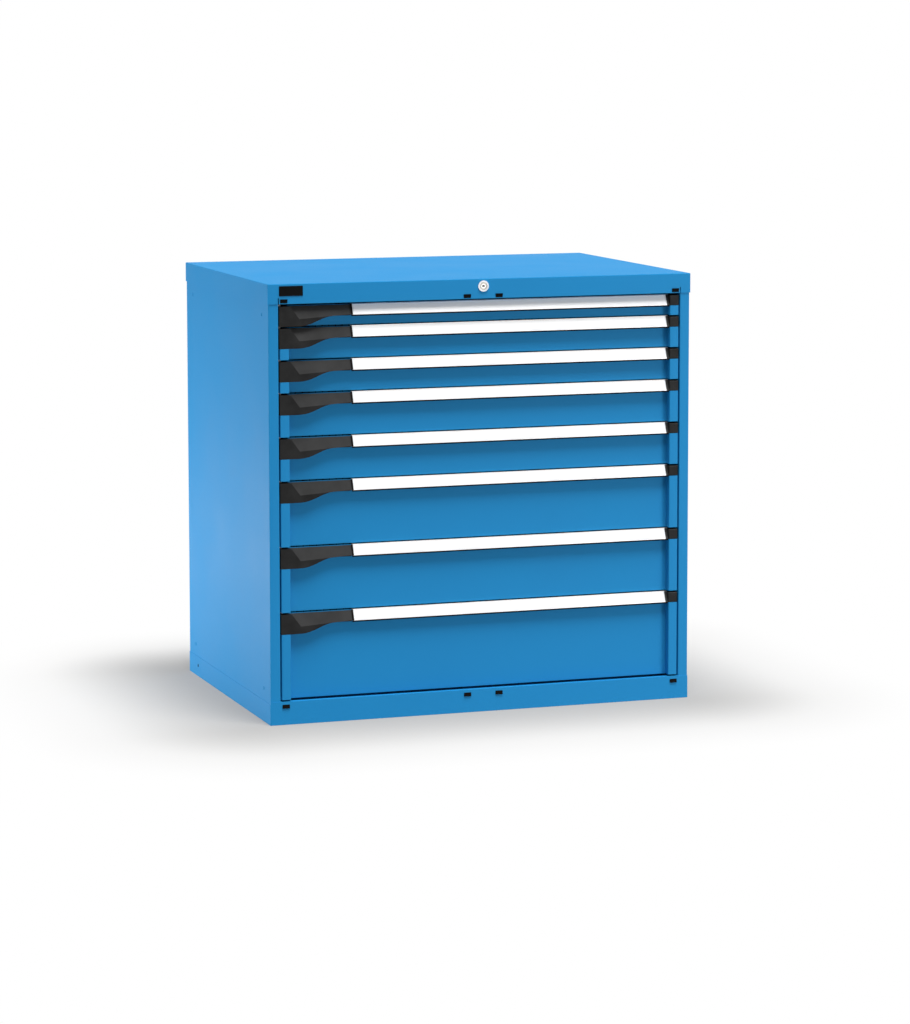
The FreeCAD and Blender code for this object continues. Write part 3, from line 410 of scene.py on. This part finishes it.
def label_card():
    material, tree, shader = new_material("label_card_under_cover")
    where = place_of(tree)
    fibres = noise(tree, where, FIBRE_SCALE, detail=3.0)
    paper = blend_colours(tree, spread(tree, fibres, 0.0, 0.5), grey(247), rgb(238, 238, 239))
    off = calc(tree, "SUBTRACT", split(tree, where)["X"], (LABEL_LEFT + LABEL_RIGHT) / 2)
    end = calc(tree, "GREATER_THAN", calc(tree, "ABSOLUTE", off),
               (LABEL_RIGHT - LABEL_LEFT) / 2 - CARD_MARGIN)
    link(tree, blend_colours(tree, end, paper, rgb(226, 229, 232)), shader, "Base Color")
    link(tree, bump(tree, fibres, strength=0.1, distance=0.0001), shader, "Normal")
    shader.inputs["Roughness"].default_value = 0.55
    shader.inputs["Coat Weight"].default_value = 0.5
    shader.inputs["Coat Roughness"].default_value = 0.12
    return material


LABEL_WHITE = label_card()
print("label strip length in mm:", round((LABEL_RIGHT - LABEL_LEFT) * 1000, 1))

# %% [markdown]
# ## Trays with divider slots
# The walls of a tray are punched with narrow slots every 17 mm, so that dividers can stand anywhere. The
# slots are too fine and too many to be worth cutting, and from outside they read as rows of dark strokes,
# the shade inside each slot. So each tray's paint gets a mask: one dark stroke of painted shade per module
# along each wall, between two heights that follow the drawer. Its paint is a copy of the drawers' own, so
# the two can't drift apart.

# %% Tray paint
MODULE = 0.017
MODULES_WIDE, MODULES_DEEP = 54, 36
SLOT_WIDTH = 0.0022
RIM_CLEAR, FOOT_CLEAR = 0.009, 0.008
SQUARE_ON = 0.9


def both(tree, first, second):
    return calc(tree, "MULTIPLY", first, second)


def stroke_every_module(tree, value, start):
    """1 inside a stroke that repeats each module from a starting place."""
    step = calc(tree, "WRAP", calc(tree, "SUBTRACT", value, start), MODULE, 0.0)
    return calc(tree, "LESS_THAN", step, SLOT_WIDTH)


def wall_facing(tree, way):
    return calc(tree, "GREATER_THAN", calc(tree, "ABSOLUTE", way), SQUARE_ON)


def tray_paint(number):
    low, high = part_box("drawer_%d_tray" % number)
    first_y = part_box("drawer_%d_front" % number)[1].y + MODULE / 2
    first_x = -MODULES_WIDE * MODULE / 2 + MODULE / 2
    material = DRAWER_BLUE.copy()
    material.name = "tray_powder_coat_%d" % number
    tree = material.node_tree
    place, facing = split(tree, place_of(tree)), facing_of(tree)
    along_side = both(tree, wall_facing(tree, facing["X"]), stroke_every_module(tree, place["Y"], first_y))
    along_end = both(tree, wall_facing(tree, facing["Y"]), stroke_every_module(tree, place["X"], first_x))
    strokes = calc(tree, "MAXIMUM", along_side, along_end)
    below_rim = calc(tree, "LESS_THAN", place["Z"], high.z - RIM_CLEAR)
    above_foot = calc(tree, "GREATER_THAN", place["Z"], low.z + FOOT_CLEAR)
    # painted shade: dark strokes where the open slots would show shade
    paint_over(material, both(tree, strokes, both(tree, below_rim, above_foot)), rgb(16, 30, 42))
    return material


print("strokes along a side wall:", MODULES_DEEP, "and along an end:", MODULES_WIDE)

# %% [markdown]
# ## Dressing the frame
# On the real cabinet every part is painted, plated or moulded before it is put together, so each has one
# finish all over. The frame is dressed in the same way: a node keeps its shape and takes the finish of
# its real part. Copies of the nodes would give the same picture, but would no longer be the frame.

# %% Assign finishes
DRAWERS = range(1, 9)


def dress(name, material):
    data = nodes[name].data
    data.materials.clear()
    data.materials.append(material)


for name in ("top_cover", "left_side", "right_side", "back_panel", "base_pan"):
    dress(name, CASE_BLUE)
for name in ("uprights", "cabinet_rails", "lock_bar"):
    dress(name, ZINC)
dress("slot_plugs", PLUG_BLACK)
dress("lock_case", CHROME)
dress("lock_barrel", NICKEL)
for number in DRAWERS:
    drawer = "drawer_%d_" % number
    dress(drawer + "front", DRAWER_BLUE)
    dress(drawer + "tray", tray_paint(number))
    dress(drawer + "handle", ALUMINIUM)
    dress(drawer + "handle_ends", GRIP_BLACK)
    dress(drawer + "latch", GRIP_BLACK)
    dress(drawer + "carriage", ZINC)
print("nodes dressed:", len(nodes))

# %% [markdown]
# ## Sheets that are remade
# Two kinds of sheet differ from the real ones by a few millimetres. The real drawer front runs straight
# down to its foot, where the frame's turns forward in a small lip, and the real cover ends a little
# higher, so that a dark gap shows above the top drawer. New sheets could be drawn from nothing, but every
# bend would have to be repeated. A copy of the frame's own mesh keeps them all, and only its lowest
# millimetres are remade. The copy stands in for its node.

# %% Sheet helpers
WELD = 1e-6
SAME_PLANE, SHARP = math.radians(0.3), math.radians(25)


def finish_piece(name, work, material, body):
    """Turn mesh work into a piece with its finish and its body."""
    data = bpy.data.meshes.new(name)
    work.to_mesh(data)
    work.free()
    data.materials.append(material)
    piece = in_scene(name, data)
    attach(piece, body)
    return piece


def sheet_copy(name):
    work = bmesh.new()
    work.from_mesh(nodes[name].data)
    bmesh.ops.remove_doubles(work, verts=work.verts, dist=WELD)
    return work


def keep_folds_sharp(work):
    """Merge flat triangles, then shade only the rounded bends smoothly."""
    bmesh.ops.dissolve_limit(work, angle_limit=SAME_PLANE, verts=work.verts, edges=work.edges)
    bmesh.ops.recalc_face_normals(work, faces=work.faces)
    for face in work.faces:
        face.smooth = True
    for edge in work.edges:
        edge.smooth = len(edge.link_faces) == 2 and edge.calc_face_angle() < SHARP


print("edges that turn under", round(math.degrees(SHARP)), "degrees are shaded smoothly")

# %% [markdown]
# ## Straight drawer fronts
# A real front is one folded sheet whose panel ends in a straight foot. The lip could be pushed back point
# by point, but its bend would leave a crease. So the copy is cut level just above the lip, the open rim
# is drawn straight down to the old foot, and the hole is closed. Cutting tools may list the same points
# in another order each run, so they are listed again by place, and every run gives the same mesh.

# %% Drawer fronts
LIP_HEIGHT = 0.0052
SORT_DIGITS = 5


def open_edges(work):
    return [edge for edge in work.edges if edge.is_boundary]


def in_fixed_order(work):
    """The same points and faces, listed by where they are."""
    points = sorted(work.verts, key=lambda point: [round(v, SORT_DIGITS) for v in point.co])
    rank = {point: index for index, point in enumerate(points)}
    rings = []
    for face in work.faces:
        ring = [rank[point] for point in face.verts]
        first = ring.index(min(ring))
        rings.append(ring[first:] + ring[:first])
    ordered = bmesh.new()
    places = [ordered.verts.new(point.co) for point in points]
    for ring in sorted(rings):
        ordered.faces.new([places[index] for index in ring])
    ordered.normal_update()
    work.free()
    return ordered


def straight_front(name):
    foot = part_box(name)[0].z
    work = sheet_copy(name)
    bmesh.ops.bisect_plane(work, geom=work.verts[:] + work.edges[:] + work.faces[:], clear_inner=True,
                           plane_co=(0, 0, foot + LIP_HEIGHT), plane_no=(0, 0, 1))
    for part in bmesh.ops.extrude_edge_only(work, edges=open_edges(work))["geom"]:
        if isinstance(part, bmesh.types.BMVert):
            part.co.z = foot
    bmesh.ops.holes_fill(work, edges=open_edges(work), sides=0)
    work = in_fixed_order(work)
    keep_folds_sharp(work)
    return work


for number in DRAWERS:
    name = "drawer_%d_front" % number
    front_sheet = finish_piece("front_sheet_%d" % number, straight_front(name), DRAWER_BLUE,
                               "drawer_%d" % number)
    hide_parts(name)
print("faces of the last front sheet:", len(front_sheet.data.polygons))

# %% [markdown]
# ## A higher cover edge
# The cover is a pan turned over the case, and its band ends just above the top drawer. Scaling the whole
# cover would thin its sheet and shift its lock hole. Only the points along its lower edge move up
# instead, all by the same step, so the sheet's thickness stays as it was.

# %% Cover
EDGE_BAND, EDGE_LIFT = 0.004, 0.0024


def raised_cover(name):
    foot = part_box(name)[0].z
    work = sheet_copy(name)
    for vertex in work.verts:
        if vertex.co.z < foot + EDGE_BAND:
            vertex.co.z += EDGE_LIFT
    keep_folds_sharp(work)
    return work


cover = finish_piece("cover_sheet", raised_cover("top_cover"), CASE_BLUE, "cabinet")
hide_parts("top_cover")
print("faces of the cover sheet:", len(cover.data.polygons))

# %% [markdown]
# ## Trim along the handles
# Label strips, stops, joints and seals all run along a handle, as drawn plastic sections do. Blocks
# would be quicker, but would miss the ribs and the lean of the handle's face. So each is a closed section
# swept along x. Its points are measured down the slanted face and behind it, from a pitch line that is
# read off the frame, so every piece is placed by its own handle.

# %% Sweeping a section
def sweep_along_x(outline, start, end):
    """A closed outline of (y, z) points, drawn from x = start to x = end, with caps."""
    work = bmesh.new()
    rings = [[work.verts.new((x, y, z)) for y, z in outline] for x in (start, end)]
    count = len(outline)
    for i in range(count):
        j = (i + 1) % count
        work.faces.new((rings[0][i], rings[0][j], rings[1][j], rings[1][i]))
    work.faces.new(rings[0][::-1])
    work.faces.new(rings[1])
    bmesh.ops.recalc_face_normals(work, faces=work.faces)
    return work


print("made: sweep_along_x")

# %% Placing a section on a handle
SLANT_TOP, SLANT_FOOT = (0.0130, -0.0023), (0.0025, -0.0275)
PITCH_ABOVE_HANDLE = 0.0023


def on_slant(along, deep):
    """Distance down the slanted face and depth behind it, as a (y, z) offset from the pitch line."""
    run, drop = SLANT_FOOT[0] - SLANT_TOP[0], SLANT_FOOT[1] - SLANT_TOP[1]
    way = (run / math.hypot(run, drop), drop / math.hypot(run, drop))
    return (SLANT_TOP[0] + way[0] * along - way[1] * deep,
            SLANT_TOP[1] + way[1] * along + way[0] * deep)


def handle_end(number):
    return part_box("drawer_%d_handle" % number)[1]


def handle_trim(name, number, offsets, start, end, material):
    """A section of (y, z) offsets from a handle's pitch line, drawn along that handle."""
    front_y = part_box("drawer_%d_front" % number)[0].y
    pitch_z = handle_end(number).z + PITCH_ABOVE_HANDLE
    outline = [(front_y + y, pitch_z + z) for y, z in offsets]
    finish_piece("%s_%d" % (name, number), sweep_along_x(outline, start, end), material,
                 "drawer_%d" % number)


print("slanted face in mm:", round(1000 * math.dist(SLANT_TOP, SLANT_FOOT), 1))

# %% [markdown]
# ## Label strips
# The strip is a shallow channel: a flat card with a small rib along each edge, where the clear cover
# snaps into the handle. A flat plane in the right place would do from far off. The ribs are kept because
# they give the strip its thickness and its edges from close by.

# %% Strips
CHANNEL_START, CHANNEL_END = 0.0018, 0.0221
RIB = 0.0011
STRIP_GAP, STRIP_BACK, RIB_DEPTH, CARD_DEPTH = 0.0001, 0.0008, 0.0001, 0.0003
strip_first, strip_last = CHANNEL_START + STRIP_GAP, CHANNEL_END - STRIP_GAP
STRIP = [(strip_first, STRIP_BACK), (strip_first, RIB_DEPTH), (CHANNEL_START + RIB, RIB_DEPTH),
         (CHANNEL_START + 1.5 * RIB, CARD_DEPTH), (CHANNEL_END - 1.5 * RIB, CARD_DEPTH),
         (CHANNEL_END - RIB, RIB_DEPTH), (strip_last, RIB_DEPTH), (strip_last, STRIP_BACK)]
for number in DRAWERS:
    handle_trim("label_strip", number, [on_slant(*point) for point in STRIP], LABEL_LEFT, LABEL_RIGHT,
                LABEL_WHITE)
print("label strips:", len(DRAWERS), "each in mm:", round(1000 * (strip_last - strip_first), 1), "high")

# %% [markdown]
# ## Handle end stops
# Between a strip's right end and the end cap lies a short black stop. It is the cap's tongue: it fills
# the handle's channel and keeps the card from sliding out. It could be painted on the handle, but seen
# along the bar it stands slightly proud, so it gets a section of its own with eased corners.

# %% End stops
END_GAP = 0.0002
STOP = [(0.0004, 0.0006), (0.0004, -0.0001), (0.0010, -0.0004), (0.0262, -0.0004), (0.0268, -0.0001),
        (0.0268, 0.0006)]
for number in DRAWERS:
    handle_trim("handle_stop", number, [on_slant(*point) for point in STOP], LABEL_RIGHT + END_GAP,
                handle_end(number).x - END_GAP, GRIP_BLACK)
print("end stops in mm:", round(1000 * (handle_end(1).x - LABEL_RIGHT - 2 * END_GAP), 1), "long")

# %% [markdown]
# ## Dark lines beside and below the strip
# Two dark lines frame every label in daylight. The grip's end falls back beside the card, and a narrow
# black strip there stands for its joint and for the shade in it. Under the handle's foot a thin black
# strip hangs where the panel lies in shade: a painted shadow, as a dark sheet. Shadows alone come out too
# weak at this size. Both are therefore real sections, one laid on the slant and one hanging below it.

# %% Joints and shade strips
JOINT_WIDTH, JOINT_GAP = 0.0040, 0.0001
JOINT_AND_SHADE = [(0.0004, 0.0005), (0.0004, -0.0001), (0.0008, -0.0002), (0.0262, -0.0002), (0.0266, -0.0001),
         (0.0266, 0.0005)]
SHADE_STRIP = [(0.0034, -0.0272), (0.0034, -0.0300), (0.0038, -0.0304), (0.0046, -0.0304), (0.0050, -0.0300),
        (0.0050, -0.0272)]
for number in DRAWERS:
    # a black strip beside the grip: the grip's joint, and painted shade in it
    handle_trim("grip_joint_and_shade", number, [on_slant(*point) for point in JOINT_AND_SHADE], LABEL_LEFT - JOINT_WIDTH,
                LABEL_LEFT - JOINT_GAP, PLUG_BLACK)
    # painted shadow: a black strip under the handle's foot, where the panel lies in shade
    handle_trim("handle_shade_strip", number, SHADE_STRIP, LABEL_LEFT - JOINT_WIDTH,
                handle_end(number).x - END_GAP, PLUG_BLACK)
print("joints and seals:", 2 * len(DRAWERS))

# %% [markdown]
# ## The plate on the cover
# A small black enamel plate sits at the left of the cover band. A box would give it knife edges. The real
# one is pressed, with rounded corners and a narrow raised rim, so that light draws its edge. It is built
# as nested rings of one rounded outline: the wall, the rim and the sunken field.

# %% Plate
PLATE_SIZE = (0.0555, 0.0224)
PLATE_MIDDLE = (-0.4571, 0.9876)
CORNER, LEAST_CORNER, CORNER_STEPS = 0.0012, 0.0003, 5
PLATE_RINGS = ((0.0, 0.0), (0.0, 0.0011), (0.0004, 0.0014), (0.0009, 0.0014), (0.0012, 0.0011))


def rounded_rectangle(width, height, radius):
    points = []
    for cx, cz, start in ((1, 1, 0), (-1, 1, 90), (-1, -1, 180), (1, -1, 270)):
        for k in range(CORNER_STEPS + 1):
            turn = math.radians(start + 90 * k / CORNER_STEPS)
            points.append((cx * (width / 2 - radius) + radius * math.cos(turn),
                           cz * (height / 2 - radius) + radius * math.sin(turn)))
    return points


def nested_plate(front_y):
    """One ring for each (inset, how far it stands out), joined by faces."""
    work = bmesh.new()
    rings = []
    for inset, proud in PLATE_RINGS:
        outline = rounded_rectangle(PLATE_SIZE[0] - 2 * inset, PLATE_SIZE[1] - 2 * inset,
                                    max(CORNER - inset, LEAST_CORNER))
        rings.append([work.verts.new((PLATE_MIDDLE[0] + x, front_y - proud, PLATE_MIDDLE[1] + z))
                      for x, z in outline])
    for outer, inner in zip(rings, rings[1:]):
        for i in range(len(outer)):
            j = (i + 1) % len(outer)
            work.faces.new((outer[i], outer[j], inner[j], inner[i]))
    work.faces.new(rings[-1])
    bmesh.ops.recalc_face_normals(work, faces=work.faces)
    return work


cover_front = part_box("top_cover")[0].y
finish_piece("cover_plate", nested_plate(cover_front), PLATE_BLACK, "cabinet")
print("plate in mm:", [round(1000 * v, 1) for v in PLATE_SIZE])

# %% [markdown]
# ## Rivets and base holes
# Blind rivets hold the side panels to the uprights' feet and heads. They are painted over with the case,
# so only their low domes show. A flattened ball would sink into the wall without an edge. A profile
# turned round the wall's normal gives the true dome with its short rim. In each side of the base there
# is one small hole near the back, for a floor anchor, and a dark turned disc fills it as painted shade for
# the inside of the hole.

# %% Turned pieces
SIDES_OF_TURN = 28


def turned(profile, centre, out):
    """A profile of (radius, height) points turned round an axis that points out of the wall."""
    out = Vector(out)
    across = out.orthogonal().normalized()
    up = out.cross(across)
    work = bmesh.new()
    rings = []
    for radius, height in profile:
        base = Vector(centre) + out * height
        rings.append([work.verts.new(base + (across * math.cos(a) + up * math.sin(a)) * radius)
                      for a in (2 * math.pi * k / SIDES_OF_TURN for k in range(SIDES_OF_TURN))])
    for lower, upper in zip(rings, rings[1:]):
        for i in range(SIDES_OF_TURN):
            j = (i + 1) % SIDES_OF_TURN
            work.faces.new((lower[i], lower[j], upper[j], upper[i]))
    work.faces.new(rings[-1])
    bmesh.ops.recalc_face_normals(work, faces=work.faces)
    for face in work.faces:
        face.smooth = len(face.verts) == 4
    return work


print("a turned piece has", SIDES_OF_TURN, "sides")

# %% Rivets and hole shades
DOME = ((0.0043, 0.0), (0.0043, 0.0003), (0.0038, 0.0008), (0.0026, 0.0011), (0.0012, 0.0012))
HOLE_SHADE = ((0.0042, 0.0), (0.0042, 0.0002), (0.0034, 0.0004), (0.0029, 0.0001), (0.0027, 0.0001))
RIVET_Y, RIVET_Z = (-0.30225, 0.30475), (0.076, 0.931)
ANCHOR_Y, ANCHOR_Z = 0.281, 0.0262
SIDES = ((-1, "left"), (1, "right"))


def outer_x(name, side):
    low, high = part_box(name)
    return low.x if side < 0 else high.x


rivets = 0
for side, word in SIDES:
    for y in RIVET_Y:
        for z in RIVET_Z:
            rivets += 1
            dome = turned(DOME, (outer_x(word + "_side", side), y, z), (side, 0, 0))
            finish_piece("side_rivet_%d" % rivets, dome, CASE_BLUE, "cabinet")
    # painted shade: a dark disc fills the anchor hole
    hole_shade = turned(HOLE_SHADE, (outer_x("base_pan", side), ANCHOR_Y, ANCHOR_Z), (side, 0, 0))
    finish_piece("anchor_hole_shade_" + word, hole_shade, PLUG_BLACK, "cabinet")
print("side rivets:", rivets)

# %% [markdown]
# ## Fasteners at the back
# The back panel lies behind the flanges of the two sides and is riveted through them, seven rivets a
# side. An array modifier could space them, but then they would be one piece. A loop makes each rivet a
# piece of its own, from the same painted dome.

# %% Back rivets
ROW_X, ROW_FOOT, ROW_STEP, ROW_COUNT = 0.499, 0.10, 0.135, 7
flange_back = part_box("right_side")[1].y
for side, word in SIDES:
    for k in range(ROW_COUNT):
        dome = turned(DOME, (side * ROW_X, flange_back, ROW_FOOT + k * ROW_STEP), (0, 1, 0))
        finish_piece("back_rivet_%s_%d" % (word, k + 1), dome, CASE_BLUE, "cabinet")
print("back rivets:", 2 * ROW_COUNT)

# %% [markdown]
# ## The floor
# The picture is taken on a white sweep that runs out without an edge. A curved backdrop could be built,
# but a very large disc does the same with less. It lies half a millimetre below the cabinet's foot, so
# that the two surfaces can't flicker through each other. It is stage, and no part of the cabinet.

# %% Floor disc
FLOOR_RADIUS, FLOOR_SIDES, FLOOR_DROP = 14.0, 96, 0.0005
work = bmesh.new()
bmesh.ops.create_circle(work, cap_ends=True, radius=FLOOR_RADIUS, segments=FLOOR_SIDES)
floor_data = bpy.data.meshes.new("studio_floor")
work.to_mesh(floor_data)
work.free()
floor = in_scene("studio_floor", floor_data)
floor.location = (0, 0, -FLOOR_DROP)
print("floor radius in m:", FLOOR_RADIUS)

# %% [markdown]
# ## The floor's paint
# Near the cabinet the floor has to take its soft shadow, and further out it has to be plain white. More
# light would whiten the floor, but would bleach the cabinet too. So the paint knows how far each point
# lies from the cabinet's footprint, and fades from matt grey to a white that glows only for what the
# camera, the gloss and clear parts see. Near the footprint that glow is darkened: a painted shadow, added
# to the real one that falls on the matt grey. For all other light the floor stays a plain grey sheet.

# %% Masks for the floor
def seen_directly(tree):
    """1 for rays from the camera, from gloss and through clear parts."""
    path = add(tree, "ShaderNodeLightPath").outputs
    first = calc(tree, "MAXIMUM", path["Is Camera Ray"], path["Is Glossy Ray"])
    return calc(tree, "MAXIMUM", first, path["Is Transmission Ray"])


def beyond_edge(tree, value, middle, half):
    """How far a coordinate lies outside the cabinet's footprint, 0 inside it."""
    off = calc(tree, "ABSOLUTE", calc(tree, "SUBTRACT", value, middle))
    return calc(tree, "MAXIMUM", calc(tree, "SUBTRACT", off, half), 0.0)


print("footprint in m:", [round(v, 4) for v in (cad_high.x - cad_low.x, cad_high.y - cad_low.y)])

# %% Floor paint
# The footprint's middle is moved 3 cm to the left, which makes the painted shadow reach further out on the
# left.
FOOTPRINT_X = -0.03
CONTACT_DARK, FADE_START = 0.45, 0.5
DARK_RANGE, FADE_RANGE = (-0.05, 0.36), (0.05, 0.6)
MOTTLE_SCALE = 3.0
floor_material, tree, shader = new_material("studio_floor")
tree.nodes.remove(shader)
where = place_of(tree)
place = split(tree, where)
side_gap = beyond_edge(tree, place["X"], FOOTPRINT_X, cad_high.x)
deep_gap = beyond_edge(tree, place["Y"], (cad_low.y + cad_high.y) / 2, (cad_high.y - cad_low.y) / 2)
gap = length_of(tree, side_gap, deep_gap)
# painted shadow: the white glow is darker the nearer it lies to the footprint
shade = ramp(tree, gap, *DARK_RANGE, CONTACT_DARK, 1.0, interpolation_type="SMOOTHSTEP")
fade = ramp(tree, gap, *FADE_RANGE, FADE_START, 1.0, interpolation_type="SMOOTHSTEP")
paint = blend_colours(tree, noise(tree, where, MOTTLE_SCALE), rgb(182, 180, 177), rgb(186, 184, 181))
colour = blend_colours(tree, seen_directly(tree), grey(158), paint)
matt = add(tree, "ShaderNodeBsdfDiffuse", {"Color": colour})
white = add(tree, "ShaderNodeEmission", {"Color": shade, "Strength": 1.0})
mixed = add(tree, "ShaderNodeMixShader", {0: both(tree, fade, seen_directly(tree)),
                                          1: matt.outputs[0], 2: white.outputs[0]})
link(tree, mixed.outputs[0], tree.nodes["Material Output"], "Surface")
floor_data.materials.append(floor_material)
print("floor fades to white over m:", FADE_RANGE[1])

# %% [markdown]
# ## The sky
# Beyond the floor the picture is white. A white sky bright enough for that would flatten every shadow, so
# it is split in two as the floor is: plain white at strength 1 for what is seen directly, and a faint
# glow for what lights the cabinet.

# %% World
WHITE = (1, 1, 1, 1)
SKY_LIGHT = 0.11
world = bpy.data.worlds.new("studio")
bpy.context.scene.world = world
world.use_nodes = True
tree = world.node_tree
tree.nodes.clear()
sky = add(tree, "ShaderNodeBackground", {"Color": WHITE, "Strength": SKY_LIGHT})
beyond = add(tree, "ShaderNodeBackground", {"Color": WHITE, "Strength": 1.0})
mixed = add(tree, "ShaderNodeMixShader", {0: seen_directly(tree), 1: sky.outputs[0], 2: beyond.outputs[0]})
link(tree, mixed.outputs[0], add(tree, "ShaderNodeOutputWorld"), "Surface")
print("sky strength:", SKY_LIGHT)

# %% [markdown]
# ## The lamps
# Lamps can be moved about until the picture looks right, which takes many tries. Here each lamp was
# rendered alone first. Their powers were solved from some forty places, so that the paint comes out about
# as bright as the real one at the level where a colour renders as it is written. Then they were trimmed.
# A steep, very soft sun lights the cover and lays the handles' shadows on the panels. A low lamp
# and a small one near the floor brighten the left side, one fills from the front right, and one the back.

# %% Lamps
def soft_lamp(name, place, target, size, power):
    """A round lamp: its place and its target in metres, its width, and its power in watts."""
    data = bpy.data.lights.new(name, "AREA")
    data.shape, data.size, data.energy = "DISK", size, power
    lamp = in_scene(name, data)
    lamp.location = place
    look_along(lamp, Vector(target) - Vector(place))


def soft_sun(name, azimuth, elevation, angle, strength):
    """A sun as wide in the sky as its angle, in degrees."""
    data = bpy.data.lights.new(name, "SUN")
    data.energy, data.angle = strength, math.radians(angle)
    look_along(in_scene(name, data), -outward(azimuth, elevation))


soft_sun("overhead", 10, 71, 30, 4.0)
soft_lamp("side_low", (-2.5, 0.3, 0.3), (-0.5, 0, 0.1), 1.2, 31)
soft_lamp("side_sheen", (-1.2, 1.0, 0.12), (-0.5, -0.2, 0.1), 0.5, 5.5)
soft_lamp("front_right", (2.4, -3.4, 0.6), (0, -0.3, 0.5), 1.5, 42)
soft_lamp("back_fill", (1.8, 4.2, 0.45), (0.1, 0.3, 0.45), 1.0, 40)
print("lamps:", len(bpy.data.lights))

# %% [markdown]
# ## The end
# The frame's box is printed when it is loaded. The dressed cabinet may not be larger than the frame.
# Blender's default view would shift every colour, so the standard view is set, which keeps them as
# they were written.

# %% Finish
bpy.context.scene.view_settings.view_transform = "Standard"
